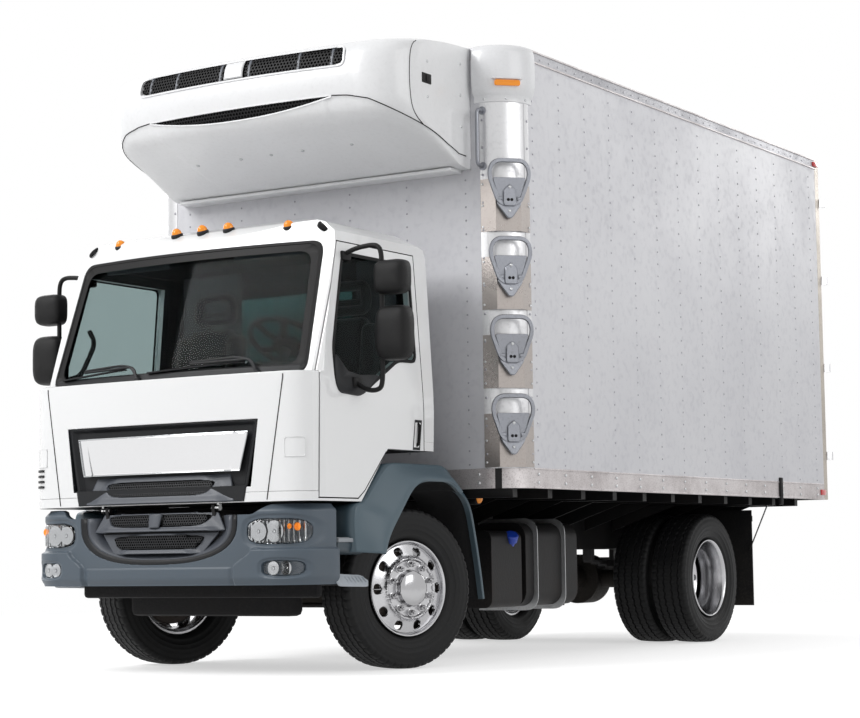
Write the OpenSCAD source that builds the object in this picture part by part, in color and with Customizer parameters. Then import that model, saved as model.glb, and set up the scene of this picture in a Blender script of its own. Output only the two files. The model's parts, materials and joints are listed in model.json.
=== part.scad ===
// Refrigerated truck: a forward-control cab on a ladder frame, with an
// insulated box body, twin rear wheels and a refrigeration unit on the box's
// front wall. The origin is on the ground under the middle of the truck, +Z
// is up, the front faces -Y and the truck's left side is +X. The pieces are
// drawn with Y counted back from the bumper's face, and from_front() puts
// them in place.

/* [Chassis] */
// Front axle to rear axle
wheelbase = 3528; // [3300:10:4600]
// Bumper face to front axle
front_overhang = 1103; // [1103:1:1160]
// Rear axle to the rear bumper's face
rear_overhang = 1529; // [1400:10:1900]
// Width over the two frame rails
frame_w = 760; // [700:10:780]
// Height of a frame rail
rail_h = 220; // [160:5:240]
// Top of the frame above the ground
frame_top_z = 860; // [840:5:880]
// Width of a leaf spring
spring_w = 70; // [50:5:75]

/* [Wheels] */
// Tyre radius
tyre_r = 434; // [415:1:440]
// Tyre width
tyre_w = 262; // [225:1:270]
// Radius of the rim's flange
rim_r = 260; // [245:1:265]
// Middle of a front tyre from the truck's middle
front_track_half = 875; // [860:1:890]
// Middle of an outer rear tyre from the truck's middle
rear_track_half = 907; // [895:1:915]
// Distance between the two tyres of a rear pair
dual_gap = 290; // [280:1:300]
// Kingpin from the middle of the front tyre, towards the truck
kingpin_offset = 86; // [80:1:95]
// Angle at which the front wheels are parked, towards the right
steer_deg = 18; // [0:1:30]
// Kingpin radius
kingpin_r = 18; // [14:1:22]
// Radius of a front wheel's spindle
spindle_r = 30; // [24:1:36]

/* [Cab] */
// Cab width
cab_w = 1900; // [1860:10:1960]
// Back of the cab from the bumper's face
cab_back = 1250; // [1230:5:1290]
// Thickness of the cab's walls and doors
cab_wall = 50; // [35:1:60]
// Bottom of the cab
cab_z0 = 895; // [890:1:910]
// Top of the roof
cab_top = 2440; // [2400:5:2500]
// Foot of the windscreen
belt_z = 1560; // [1540:5:1580]
// How far the windscreen leans back
rake = 18.7; // [14:0.1:22]
// Gap round the cab's doors
door_gap = 6; // [5:0.5:9]

/* [Box body] */
// Width of the box
box_w = 2600; // [2400:10:2600]
// Front wall of the box from the bumper's face
box_front = 1550; // [1500:10:1700]
// Bottom of the box's side rails
box_z0 = 978; // [978:1:1000]
// Top of the roof
box_top = 3492; // [3200:2:3600]
// Thickness of the insulated walls
box_wall = 75; // [60:1:90]
// Radius of the front corner posts
post_r = 200; // [150:5:240]
// Height of the bottom rails
bottom_rail_h = 112; // [90:2:130]
// Gap round the rear doors
rear_gap = 6; // [5:0.5:10]

/* [Refrigeration unit] */
// Width of the unit
unit_w = 2080; // [1800:10:2200]
// How far the unit stands out from the box
unit_depth = 860; // [700:10:880]

/* [Hidden] */
$fn = 48;

overall_l = front_overhang + wheelbase + rear_overhang;
front_y = front_overhang;
rear_y = front_overhang + wheelbase;
fit = 0.05;              // running clearance on a pin's radius
kingpin_x = front_track_half - kingpin_offset;
rail_w = 70;             // flange width of a frame rail
rail_t = 8;              // plate thickness of a frame rail
frame_z0 = frame_top_z - rail_h;
cab_half = cab_w / 2;
box_half = box_w / 2;
box_rear = overall_l - 65;
white = [0.93, 0.94, 0.95];
blue_grey = [0.30, 0.35, 0.40];
black = [0.08, 0.08, 0.09];
dark = [0.14, 0.15, 0.16];
steel = [0.75, 0.76, 0.78];

// ---- placing and drawing ----

// Puts pieces drawn back from the bumper's face round the origin.
module from_front() translate([0, -overall_l / 2, 0]) children();

// The piece, and its mirror image on the truck's other side.
module both() {
    children();
    mirror([1, 0, 0]) children();
}

// A block from its low corner to its high corner.
module block(low, high) translate(low) cube(high - low);

// A side-view outline of [y, z] points, carried across from x0 to x1.
module side_prism(points, x0, x1)
    translate([x0, 0, 0]) rotate([90, 0, 90]) linear_extrude(x1 - x0) polygon(points);

// A front-view outline of [x, z] points, carried back from y0 to y1.
module front_prism(points, y0, y1)
    translate([0, y1, 0]) rotate([90, 0, 0]) linear_extrude(y1 - y0) polygon(points);

// A round bar along X from x0 to x1, or along Y from y0 to y1.
module bar_x(r, x0, x1, y, z)
    translate([x0, y, z]) rotate([0, 90, 0]) cylinder(r = r, h = x1 - x0);
module bar_y(r, y0, y1, x, z)
    translate([x, y1, z]) rotate([90, 0, 0]) cylinder(r = r, h = y1 - y0);

// Both halves of an outline whose right half runs up the +X side.
function mirrored(half) = concat(half,
    [for (i = [len(half) - 1 : -1 : 0]) [-half[i][0], half[i][1]]]);

// ---- chassis ----

cross_y = [560, 1900, 2340, 2900, 3700, 5300, 5800];   // crossmembers
cross_h = 110;

// One channel-section rail, open towards the truck's middle.
module frame_rail() difference() {
    block([frame_w / 2 - rail_w, 90, frame_z0], [frame_w / 2, overall_l - 160, frame_top_z]);
    block([frame_w / 2 - rail_w - 1, 80, frame_z0 + rail_t],
        [frame_w / 2 - rail_t, overall_l - 150, frame_top_z - rail_t]);
}

// Hinge bracket on the front of a rail, with the bore for the cab's pin.
module cab_bracket() difference() {
    side_prism([[60, frame_z0], [90, frame_z0], [90, frame_top_z],
        [cab_pivot_y + 20, frame_top_z], [cab_pivot_y + 20, cab_pivot_z + 14],
        [cab_pivot_y - 14, cab_pivot_z + 14], [cab_pivot_y - 14, cab_pivot_z - 8],
        [60, frame_top_z - 80]], frame_w / 2 - 30, frame_w / 2 - 10);
    bar_x(cab_pin_r + fit, frame_w / 2 - 31, frame_w / 2, cab_pivot_y, cab_pivot_z);
}

module chassis_frame() color(dark) from_front() {
    both() {
        frame_rail();
        block([frame_w / 2 - rail_w, 60, frame_z0], [frame_w / 2, 90, frame_top_z - 14]);
        cab_bracket();
    }
    for (y = cross_y)
        block([rail_t - frame_w / 2, y, frame_top_z - 20 - cross_h],
            [frame_w / 2 - rail_t, y + 60, frame_top_z - 20]);
    block([-frame_w / 2, 66, frame_z0 + 20], [frame_w / 2, 84, frame_z0 + 110]);
    // rear cab mount: a bridge over the rails behind the wheels
    both() block([frame_w / 2 - rail_w, cab_back - 70, frame_top_z],
        [frame_w / 2 - 20, cab_back - 20, cab_mount_z]);
    block([-frame_w / 2 - 60, cab_back - 70, cab_mount_z],
        [frame_w / 2 + 60, cab_back - 20, cab_mount_z + 40]);
}

// ---- springs, axles and drive ----

spring_x = frame_w / 2 - 33;       // middle of a leaf spring
spring_t = 14;                     // a leaf
leaf_n = 4;
front_spring_z = tyre_r + 62;      // underside of a front spring pack
rear_spring_z = tyre_r + 74;
spring_half = 520;

// One leaf spring: stacked leaves, its hangers and its clamp.
module leaf_spring(y, z) {
    x0 = spring_x - spring_w / 2;
    x1 = spring_x + spring_w / 2;
    for (i = [0 : leaf_n - 1])
        block([x0, y - spring_half * (0.35 + 0.2 * i), z + i * spring_t],
            [x1, y + spring_half * (0.35 + 0.2 * i), z + (i + 1) * spring_t]);
    for (side = [-1, 1])
        block([x0, y + side * spring_half * 0.93 - 20, z + leaf_n * spring_t - 1],
            [x1, y + side * spring_half * 0.93 + 20, frame_z0]);
}

module leaf_springs() color(dark) from_front() both() {
    leaf_spring(front_y, front_spring_z);
    leaf_spring(rear_y, rear_spring_z);
}

boss_r = 42;             // eye at the end of the front axle beam
boss_h = 90;

module front_axle() color(dark) from_front() difference() {
    union() {
        both() {
            translate([kingpin_x, front_y, tyre_r - boss_h / 2]) cylinder(r = boss_r, h = boss_h);
            front_prism([[kingpin_x, tyre_r - 40], [kingpin_x, tyre_r + 35],
                [spring_x + 60, tyre_r - 5], [spring_x + 60, tyre_r - 75]],
                front_y - 30, front_y + 30);
            block([spring_x - spring_w / 2, front_y - 50, tyre_r - 10],
                [spring_x + spring_w / 2, front_y + 50, front_spring_z]);
        }
        block([-spring_x - 60, front_y - 30, tyre_r - 75],
            [spring_x + 60, front_y + 30, tyre_r - 5]);
    }
    both() translate([kingpin_x, front_y, tyre_r - boss_h / 2 - 1])
        cylinder(r = kingpin_r + fit, h = boss_h + 2);
}

rear_spindle_r = 44;
diff_x = 40;                       // the differential stands off the middle
rear_mid_x = rear_track_half - dual_gap / 2;   // where the two discs meet

module rear_axle() color(dark) from_front() {
    bar_x(62, -rear_inner_x, rear_inner_x, rear_y, tyre_r);
    both() bar_x(rear_spindle_r, rear_inner_x - 1, rear_mid_x + 60, rear_y, tyre_r);
    both() bar_x(150, rear_inner_x - 40, rear_inner_x, rear_y, tyre_r);
    both() block([spring_x - spring_w / 2, rear_y - 55, tyre_r],
        [spring_x + spring_w / 2, rear_y + 55, rear_spring_z]);
    bar_y(170, rear_y - 95, rear_y + 95, diff_x, tyre_r);
    translate([diff_x, rear_y + 95, tyre_r]) rotate([-90, 0, 0]) cylinder(r1 = 170, r2 = 100, h = 70);
    bar_y(80, rear_y - 250, rear_y - 60, diff_x, tyre_r + 10);
}

gearbox_end = 2040;
module drive_shaft() color(dark) from_front() {
    drive_z = frame_z0 + 40;
    centre_y = cross_y[3] + 30;         // bearing under a crossmember
    bar_y(44, gearbox_end, centre_y, 0, drive_z);
    translate([0, centre_y - 30, drive_z]) rotate([-90, 0, 0]) cylinder(r = 48, h = 60);
    block([-110, centre_y - 25, drive_z], [110, centre_y + 25, frame_top_z - 20 - cross_h]);
    run = rear_y - 250 - centre_y;
    drop = drive_z - (tyre_r + 10);
    translate([0, centre_y, drive_z]) rotate([-90 - atan(drop / run), 0, -atan(40 / run)])
        cylinder(r = 44, h = sqrt(run * run + drop * drop) - 20);
}

module engine_block() color([0.35, 0.37, 0.38]) from_front() {
    block([-270, 620, 600], [270, 1440, 1130]);
    block([-190, 1440, 560], [190, 1840, 860]);
    block([-130, 1840, 580], [130, gearbox_end, 720]);
    // engine mounts, between the rails' flanges
    block([rail_t - frame_w / 2, 800, 700], [frame_w / 2 - rail_t, 880, 760]);
}

// ---- tanks and boxes on the frame's sides ----

// A block with its long edges rounded, from y0 to y1.
module rounded_tank(x0, x1, y0, y1, z0, z1, r) intersection() {
    front_prism([for (q = [[x1 - r, z1 - r, 0], [x0 + r, z1 - r, 90],
        [x0 + r, z0 + r, 180], [x1 - r, z0 + r, 270]]) for (a = [0 : 15 : 90])
        [q[0] + r * cos(a + q[2]), q[1] + r * sin(a + q[2])]], y0, y1);
    block([x0, y0, z0], [x1, y1, z1]);
}

// tanks: [inner x, outer x, front y, back y, low z, high z, edge radius]
tanks = [[470, 850, 2420, 3060, 300, 800, 90], [560, 850, 2020, 2370, 300, 750, 50]];
module fuel_tank() color(dark) from_front() {
    for (t = tanks) {
        rounded_tank(t[0], t[1], t[2], t[3], t[4], t[5], t[6]);
        for (y = [t[2] + 60, t[3] - 110])
            block([frame_w / 2, y, frame_z0 + 40], [t[0] + 60, y + 50, frame_z0 + 100]);
    }
}

module battery_box() color(dark) from_front() {
    block([-840, 2020, 480], [-470, 2560, 800]);
    for (y = [2080, 2440])
        block([-480, y, frame_z0 + 40], [-frame_w / 2, y + 50, frame_z0 + 100]);
    for (z = [365, 565])
        bar_y(90, 3300, 3900, -560, z);
    for (y = [3400, 3750])
        block([-570, y, 365], [-frame_w / 2, y + 40, frame_z0 + 60]);
}

module exhaust() color([0.5, 0.5, 0.5]) from_front() {
    bar_y(120, 2640, 3220, -580, 600);
    bar_y(38, 3220, 3290, -580, 690);
    bar_y(38, 2600, 2640, -580, 600);
    for (y = [2760, 3060])
        block([-520, y, 640], [-frame_w / 2, y + 40, 700]);
}

// ---- bumper, lights and fenders ----

bumper_half = 950;
bumper_z0 = 470;
bumper_z1 = 850;
bumper_back = 380;
bumper_t = 30;
front_corner_r = 330;

// Plan outline of the front, from one end round to the other: a shallow bow
// between two corner arcs, closed along a straight back.
function plan_outline(front, half_w, r, bow, back) = let (flat = half_w - r)
    concat([[half_w, back]],
        [for (a = [0 : 15 : 90]) [flat + r * cos(a), front + bow + r - r * sin(a)]],
        [for (i = [3 : -1 : -3]) [i / 4 * flat, front + bow * i * i / 16]],
        [for (a = [90 : -15 : 0]) [-flat - r * cos(a), front + bow + r - r * sin(a)]],
        [[-half_w, back]]);

module front_bumper() color(blue_grey) from_front() difference() {
    translate([0, 0, bumper_z0]) linear_extrude(bumper_z1 - bumper_z0)
        polygon(plan_outline(0, bumper_half, front_corner_r, 40, bumper_back));
    translate([0, 0, bumper_z0 - 1]) linear_extrude(bumper_z1 - bumper_z0 + 2)
        polygon(plan_outline(bumper_t, bumper_half - bumper_t, front_corner_r - bumper_t,
            40, bumper_back + 1));
    // middle air intake
    front_prism([[-300, 880], [-190, 600], [190, 600], [300, 880]], -1, 100);
    both() for (lamp = lamps)
        front_prism([[lamp[0], lamp[2]], [lamp[1], lamp[2]],
            [lamp[1], lamp[3]], [lamp[0], lamp[3]]], -1, 400);
}

// lamps: [inner x, outer x, low z, high z]
lamps = [[590, 900, 683, 805], [680, 880, 520, 595]];
lamp_t = 60;
module headlights() color([0.85, 0.87, 0.9]) from_front() both() for (lamp = lamps)
    intersection() {
        difference() {
            translate([0, 0, bumper_z0]) linear_extrude(bumper_z1 - bumper_z0)
                polygon(plan_outline(4, bumper_half - 4, front_corner_r - 4, 40, bumper_back));
            translate([0, 0, bumper_z0 - 1]) linear_extrude(bumper_z1 - bumper_z0 + 2)
                polygon(plan_outline(lamp_t, bumper_half - lamp_t,
                    front_corner_r - lamp_t, 40, bumper_back + 1));
        }
        front_prism([[lamp[0], lamp[2]], [lamp[1], lamp[2]],
            [lamp[1], lamp[3]], [lamp[0], lamp[3]]], -1, 400);
    }

arch_y = front_overhang + 27;     // middle of the wheel arch's circle
arch_z = 500;
arch_r = 545;
fender_x = [560, 1040];           // inner and outer edge of a fender
guard_x = 960;                    // outer edge of the guard behind the wheel
flare_z = 1110;                   // height the fender's flare starts at, by the door
flare_x = 962;                    // how far out the fender is there
lip_z = 930;                      // height it reaches its full width at
apron_y = 452;                    // front edge of the fender's apron

// The room a fender fills: as wide as the cab by the door, full width at its lip.
module flare() front_prism([[fender_x[0], 0], [fender_x[1], 0], [fender_x[1], lip_z],
    [flare_x, flare_z], [fender_x[0], flare_z]], 0, front_overhang + 900);

// The fender over a front wheel, and the guard that trails behind it.
module front_fender() {
    difference() {
        intersection() {
        side_prism([[front_overhang - 840, bumper_z1 + 2], [apron_y, bumper_z1 + 2],
            [apron_y, 640], [front_overhang - 450, 640],
            [front_overhang - 300, 900], [front_overhang + 150, 1010],
            [front_overhang + 320, 1010], [front_overhang + 315, 1046],
            [front_overhang + 230, 1108], [front_overhang - 310, 1108],
            [front_overhang - 400, 1030], [front_overhang - 560, 885],
            [front_overhang - 840, 885]], fender_x[0], fender_x[1]);
        flare();
        }
        bar_x(arch_r, fender_x[0] - 1, fender_x[1] + 1, arch_y, arch_z, $fn = 96);
        // the wheel's well inside the outer skin
        side_prism([[front_overhang - 900, 600], [front_overhang - 500, 600],
            [front_overhang - 500, 800], [front_overhang - 600, 850],
            [front_overhang - 900, 850]], fender_x[0] - 1, fender_x[1] - 60);
    }
    intersection() {
        difference() {
            bar_x(guard_r + 25, fender_x[0] + 60, guard_x - 10, front_overhang, tyre_r, $fn = 96);
            bar_x(guard_r, fender_x[0], guard_x, front_overhang, tyre_r, $fn = 96);
        }
        side_prism([[front_overhang, tyre_r], [front_overhang + 900, tyre_r - 120],
            [front_overhang + 900, tyre_r + 900], [front_overhang + 450, tyre_r + 900]],
            fender_x[0], fender_x[1]);
    }
    // brackets to the frame rail
    bar_x(18, frame_w / 2, fender_x[0] + 10, front_overhang - 475, 760);
    bar_x(18, frame_w / 2, guard_x - 40, front_overhang + guard_r + 12 - 30, 760);
}
guard_r = 650;
module front_fenders() color(blue_grey) from_front() both() front_fender();

step_z = [500, 700];              // treads of the entry steps
module entry_steps() color([0.6, 0.62, 0.64]) from_front() both() {
    block([700, bumper_back + 4, step_z[0] - 30], [955, 600, step_z[0]]);
    block([640, bumper_back + 4, step_z[1] - 30], [950, 600, step_z[1]]);
    block([700, 480, step_z[0] - 20], [720, 560, step_z[1] - 10]);
    block([frame_w / 2, 500, frame_z0 + 10], [710, 540, frame_z0 + 50]);
}

module rear_mudflaps() color(black) from_front() both() {
    flap_y = rear_y + tyre_r + 230;
    block([rear_track_half - dual_gap - 130, flap_y, 230],
        [rear_track_half + 133, flap_y + 12, 900]);
    block([frame_w / 2, flap_y + 12, 820], [rear_track_half + 120, flap_y + 52, 860]);
}

guard_bar_half = 650;             // half the length of the bar behind the frame
module rear_bumper() color(dark) from_front() {
    block([-guard_bar_half, overall_l - 80, 480], [guard_bar_half, overall_l, 580]);
    both() block([frame_w / 2, overall_l - 260, 500],
        [frame_w / 2 + 40, overall_l - 80, frame_top_z - 10]);
}

module tail_lights() color([0.7, 0.05, 0.05]) from_front() both() {
    block([760, box_rear, box_z0 + 16], [1120, box_rear + 28, rail_top - 16]);
}

// ---- insulated box ----

inner_half = box_half - box_wall;
rail_top = box_z0 + bottom_rail_h;
roof_z0 = box_top - 67;
door_frame_w = 110;
door_frame_t = 70;
bearer_y0 = box_front + 60;

module body_floor() color(steel) from_front() {
    difference() {
        union() {
            block([-box_half, box_front + post_r, box_z0],
                [box_half, box_rear - door_frame_t, rail_top]);
            block([post_r - box_half, box_front, box_z0],
                [box_half - post_r, box_front + post_r, rail_top]);
            both() translate([box_half - post_r, box_front + post_r, box_z0])
                cylinder(r = post_r, h = bottom_rail_h, $fn = 96);
        }
        // the space between the side rails, under the floor boards
        block([40 - box_half, box_front + post_r, box_z0 - 1],
            [box_half - 40, box_rear - door_frame_t - 40, box_z0 + 30]);
    }
    // bearers along the frame rails, and the floor's crossmembers
    both() block([frame_w / 2 - rail_w, bearer_y0, frame_top_z],
        [frame_w / 2 - 10, box_rear - door_frame_t, box_z0 - 50]);
    for (y = [bearer_y0 : 400 : box_rear - 300])
        block([60 - box_half, y, box_z0 - 50], [box_half - 60, y + 50, box_z0 + 30]);
}

module body_side() block([inner_half, box_front + post_r, rail_top],
    [box_half, box_rear - door_frame_t, roof_z0]);
module body_side_left() color(white) from_front() body_side();
module body_side_right() color(white) from_front() mirror([1, 0, 0]) body_side();

module body_front_wall() color(white) from_front()
    block([post_r - box_half, box_front, rail_top],
        [box_half - post_r, box_front + box_wall, roof_z0]);

module body_roof() color(steel) from_front() {
    block([-box_half, box_front + post_r, roof_z0], [box_half, box_rear - door_frame_t, box_top]);
    block([post_r - box_half, box_front, roof_z0],
        [box_half - post_r, box_front + post_r, box_top]);
    both() translate([box_half - post_r, box_front + post_r, roof_z0])
        cylinder(r = post_r, h = box_top - roof_z0, $fn = 96);
}

module corner_posts() color(steel) from_front() both()
    translate([box_half - post_r, box_front + post_r, rail_top]) intersection() {
        difference() {
            cylinder(r = post_r, h = roof_z0 - rail_top, $fn = 96);
            translate([0, 0, -1]) cylinder(r = post_r - box_wall, h = roof_z0 - rail_top + 2, $fn = 96);
        }
        block([0, -post_r, 0], [post_r, 0, roof_z0 - rail_top]);
    }

module rear_frame() color(steel) from_front() difference() {
    block([-box_half, box_rear - door_frame_t, box_z0], [box_half, box_rear, box_top]);
    block([door_frame_w - box_half, box_rear - door_frame_t - 1, rear_sill_z],
        [box_half - door_frame_w, box_rear + 1, rear_head_z]);
}
rear_sill_z = rail_top;
rear_head_z = box_top - 170;

// the climbing steps up the left front post
folding_n = 4;
folding_z0 = 1245;
folding_pitch = 443;
module folding_steps() color([0.7, 0.71, 0.72]) from_front()
    for (i = [0 : folding_n - 1])
        translate([box_half - post_r, box_front + post_r, folding_z0 + i * folding_pitch])
            rotate([0, 0, -45]) translate([post_r, 0, 0]) {
                translate([0, -55, -75]) cube([14, 110, 150]);
                translate([12, -42, 5]) cube([34, 84, 24]);
                translate([12, -30, -60]) cube([16, 60, 66]);
            }

// ---- refrigeration unit ----

unit_front = box_front - unit_depth;
unit_half = unit_w / 2;
unit_z0 = 2790;
module refrigeration_unit() color(white) from_front() intersection() {
    side_prism([[unit_front + 20, 3050], [unit_front + 60, 3020], [box_front - 180, unit_z0 + 15],
        [box_front - 60, unit_z0], [box_front, unit_z0], [box_front, box_top - 30],
        [unit_front + 500, box_top - 35], [unit_front + 240, box_top - 70],
        [unit_front + 60, box_top - 150], [unit_front, box_top - 270]], -unit_half, unit_half);
    translate([0, 0, unit_z0]) linear_extrude(box_top - unit_z0)
        polygon(plan_outline(unit_front, unit_half, 260, 60, box_front));
}

// ---- cab ----

cab_pivot_y = 55;
cab_pivot_z = 872;
cab_pin_r = 12;
arch_top_z = 1180;                // cab's underside over the wheels
cab_mount_z = arch_top_z - 48;
floor_t = 50;
screen_base = 80;                 // foot of the windscreen, at its middle

// Side outline of the cab, w inside its skin.
function cab_side_outline(w, under) = [[-10, cab_z0 + under], [540, cab_z0 + under],
    [795, arch_top_z + under], [cab_back - w, arch_top_z + under],
    [cab_back + 45 - w, cab_top - 95 - w], [cab_back - 20 - w, cab_top - 55 - w],
    [1000, cab_top - 25 - w], [700, cab_top - 10 - w], [500, cab_top - 30 - w],
    [410, cab_top - 60 - w], [350 + w * 0.5, cab_top - 110 - w], [-10, cab_top - 110 - w]];

// Front outline of the cab, w inside its skin.
function cab_front_outline(w) = mirrored([for (p = [[cab_half, 800], [cab_half, 1400],
    [cab_half - 5, 1500], [cab_half - 65, 2260], [cab_half - 85, 2325],
    [cab_half - 145, 2375], [cab_half - 250, cab_top - 35], [cab_half - 550, cab_top - 5],
    [0, cab_top + 5]]) [max(p[0] - w, 0), p[1] - (p[1] > 2300 ? w : 0)]]);

// The solid within the cab's skin, w inside it and `under` above its bottom.
module cab_form(w, under = 0) intersection() {
    side_prism(cab_side_outline(w, under), -cab_half, cab_half);
    front_prism(cab_front_outline(w), -10, cab_back + 100);
    union() {
        translate([0, 0, 800]) linear_extrude(belt_z - 800)
            polygon(plan_outline(30 + w, cab_half - w, 160 - w, 30, cab_back + 100));
        difference() {
            translate([0, screen_base + w, belt_z]) rotate([-rake, 0, 0])
                translate([0, 0, -500]) linear_extrude(1600)
                    polygon(plan_outline(0, cab_half - w, 80 - w, 94, cab_back + 900));
            block([-cab_w, -900, 0], [cab_w, cab_back + 1500, belt_z - 0.01]);
        }
    }
}

// Side outline of a cab door, g outside its edge.
function door_outline(g) = [[175 - g, cab_z0 + 20 - g], [510 + g * 0.4, cab_z0 + 20 - g],
    [570 + g * 0.7, cab_z0 + 60 - g * 0.7], [775 + g * 0.4, arch_top_z - 15 - g],
    [cab_back - 100 + g, arch_top_z - 15 - g], [cab_back - 88 + g, 2262 + g],
    [432 - g, 2262 + g], [185 - g, 1530 + g * 0.2]];
window_outline = [[325, 1500], [545, 1452], [925, 1660], [cab_back - 145, 1665],
    [cab_back - 140, 2205], [470, 2205], [318, 1690]];
screen_outline = mirrored([[cab_half - 100, belt_z + 12], [cab_half - 144, 2252]]);
rear_window_outline = mirrored([[430, 1740], [430, 2130]]);

door_deep = 75;                   // a door keeps within this of the cab's side
module cab_skin() difference() {
    cab_form(0);
    cab_form(cab_wall, floor_t);
}

// The zone under the floor's top: a strip along the cab's bottom.
module floor_zone() side_prism([[-20, 700], [cab_back + 60, 700],
    [cab_back + 60, arch_top_z + floor_t], [795 - 19, arch_top_z + floor_t],
    [540 - 19, cab_z0 + floor_t], [-20, cab_z0 + floor_t]], -cab_half, cab_half);

// The layer within t of the cab's left side, which leans in above the sills.
module side_layer(t) front_prism([[cab_half - t, 800], [cab_half + 10, 800],
    [cab_half + 10, 2290], [cab_half - 67 - t, 2290], [cab_half - t, 1480]], 0, cab_back + 50);

// The doors' places in the cab's sides, g wider than the doors all round.
module door_places(g) both() intersection() {
    side_prism(door_outline(g), cab_half - 300, cab_half + 10);
    side_layer(door_deep + g);
}

tunnel_half = 330;
tunnel_z = 1330;
module tunnel_zone(w) block([w - tunnel_half, 560 + w, 700], [tunnel_half - w, cab_back + 60, tunnel_z - w]);

module cab_floor() color(dark) from_front() {
    difference() {
        union() {
            intersection() {
                cab_form(0);
                floor_zone();
            }
            intersection() {
                cab_form(1);
                difference() {
                    tunnel_zone(0);
                    floor_zone();
                }
                block([-cab_half, 0, 0], [cab_half, cab_back - cab_wall, 3000]);
            }
        }
        door_places(door_gap);
        tunnel_zone(25);
    }
    // hinge ears round the cab's pivot pins
    both() {
        bar_x(16, frame_w / 2 + 3, frame_w / 2 + 18, cab_pivot_y, cab_pivot_z);
        block([frame_w / 2 + 3, cab_pivot_y - 10, cab_pivot_z],
            [frame_w / 2 + 18, cab_pivot_y + 12, cab_z0 + 10]);
        bar_x(cab_pin_r, frame_w / 2 - 34, frame_w / 2 + 4, cab_pivot_y, cab_pivot_z);
    }
}

// The front panel below the windscreen, ahead of the doors.
module front_zone() side_prism([[-20, cab_z0 + floor_t], [175 - door_gap, cab_z0 + floor_t],
    [185 - door_gap, 1530], [195 - door_gap, belt_z], [-20, belt_z]], -cab_half, cab_half);
grille_outline = mirrored([[600, cab_z0 + floor_t + 30], [645, 1320]]);
module cab_front() color(white) from_front() difference() {
    intersection() {
        cab_skin();
        front_zone();
    }
    front_prism(grille_outline, -1, 200);
}

module cab_shell() color(white) from_front() difference() {
    cab_skin();
    floor_zone();
    front_zone();
    door_places(door_gap);
    front_prism(screen_outline, -10, 620);
    front_prism(rear_window_outline, cab_back - 200, cab_back + 100);
}

module windscreen() color([0.6, 0.75, 0.8, 0.4]) from_front() intersection() {
    difference() {
        cab_form(16);
        cab_form(22);
    }
    front_prism(screen_outline, -10, 620);
}

module rear_window() color([0.4, 0.55, 0.5, 0.4]) from_front() intersection() {
    difference() {
        cab_form(16);
        cab_form(22);
    }
    front_prism(rear_window_outline, cab_back - 200, cab_back + 100);
}

// Black surround that fills the front panel's opening, with two air slots.
module grille() color(black) from_front() difference() {
    front_prism(grille_outline, 46, 62);
    for (z = [cab_z0 + 95, cab_z0 + 185])
        block([-480, 0, z], [480, 100, z + 60]);
}

module wipers() color(black) from_front() for (x = [-560, 160])
    translate([x, screen_base - 22, belt_z + 4]) {
        cylinder(r = 16, h = 40);
        translate([0, -8, 22]) cube([560, 14, 14]);
    }

// ---- cab interior ----

dash_in = cab_wall + 40;           // ends of the dashboard from the cab's sides
module dashboard() color(dark) from_front() intersection() {
    side_prism([[110, 1250], [110, belt_z - 10], [200, belt_z + 20], [430, belt_z - 20],
        [470, belt_z - 120], [430, 1250]], dash_in - cab_half, cab_half - dash_in);
    cab_form(cab_wall + 8, floor_t);
}

// seats: [middle x, width]
seats_table = [[470, 460], [-470, 460]];
seat_z = 1420;
module seats() color([0.2, 0.2, 0.22]) from_front() for (s = seats_table) {
    block([s[0] - 120, 800, arch_top_z + floor_t], [s[0] + 120, 1120, seat_z - 80]);
    block([s[0] - s[1] / 2, 640, seat_z - 80], [s[0] + s[1] / 2, 1140, seat_z + 40]);
    side_prism([[1000, seat_z + 40], [1130, seat_z + 40], [1185, 1960], [1100, 1960]],
        s[0] - s[1] / 2, s[0] + s[1] / 2);
    side_prism([[1110, 1980], [1185, 1980], [1190, 2130], [1130, 2130]],
        s[0] - 130, s[0] + 130);
    for (x = [-60, 60])
        bar_z(10, s[0] + x, 1150, 1955, 1985);
}
module bar_z(r, x, y, z0, z1) translate([x, y, z0]) cylinder(r = r, h = z1 - z0);

wheel_x = 470;                    // steering wheel
wheel_y = 560;
wheel_z = 1760;
wheel_tilt = 32;                  // leaning towards the driver
wheel_rim_r = 215;
module steering_wheel() color(black) from_front()
    translate([wheel_x, wheel_y, wheel_z]) rotate([-wheel_tilt, 0, 0]) {
        rotate_extrude($fn = 64) translate([wheel_rim_r, 0]) circle(r = 15, $fn = 24);
        translate([0, 0, -40]) cylinder(r = 60, h = 50);
        for (a = [0, 120, 240])
            rotate([0, 0, a + 90]) translate([40, -16, -22]) cube([wheel_rim_r - 45, 32, 16]);
        translate([0, 0, -110]) cylinder(r = 25, h = 80);
    }

// ---- cab doors ----

module door_panel() difference() {
    intersection() {
        difference() {
            cab_form(0);
            cab_form(cab_wall);
        }
        side_prism(door_outline(0), cab_half - 300, cab_half + 10);
        side_layer(door_deep);
    }
    side_prism(window_outline, cab_half - 300, cab_half + 10);
}
module door_left() color(white) from_front() door_panel();
module door_right() color(white) from_front() mirror([1, 0, 0]) door_panel();

module door_pane() intersection() {
    difference() {
        cab_form(16);
        cab_form(22);
    }
    side_prism(window_outline, cab_half - 300, cab_half + 10);
}
module door_glass_left() color([0.6, 0.75, 0.8, 0.4]) from_front() door_pane();
module door_glass_right() color([0.6, 0.75, 0.8, 0.4]) from_front() mirror([1, 0, 0]) door_pane();

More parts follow.
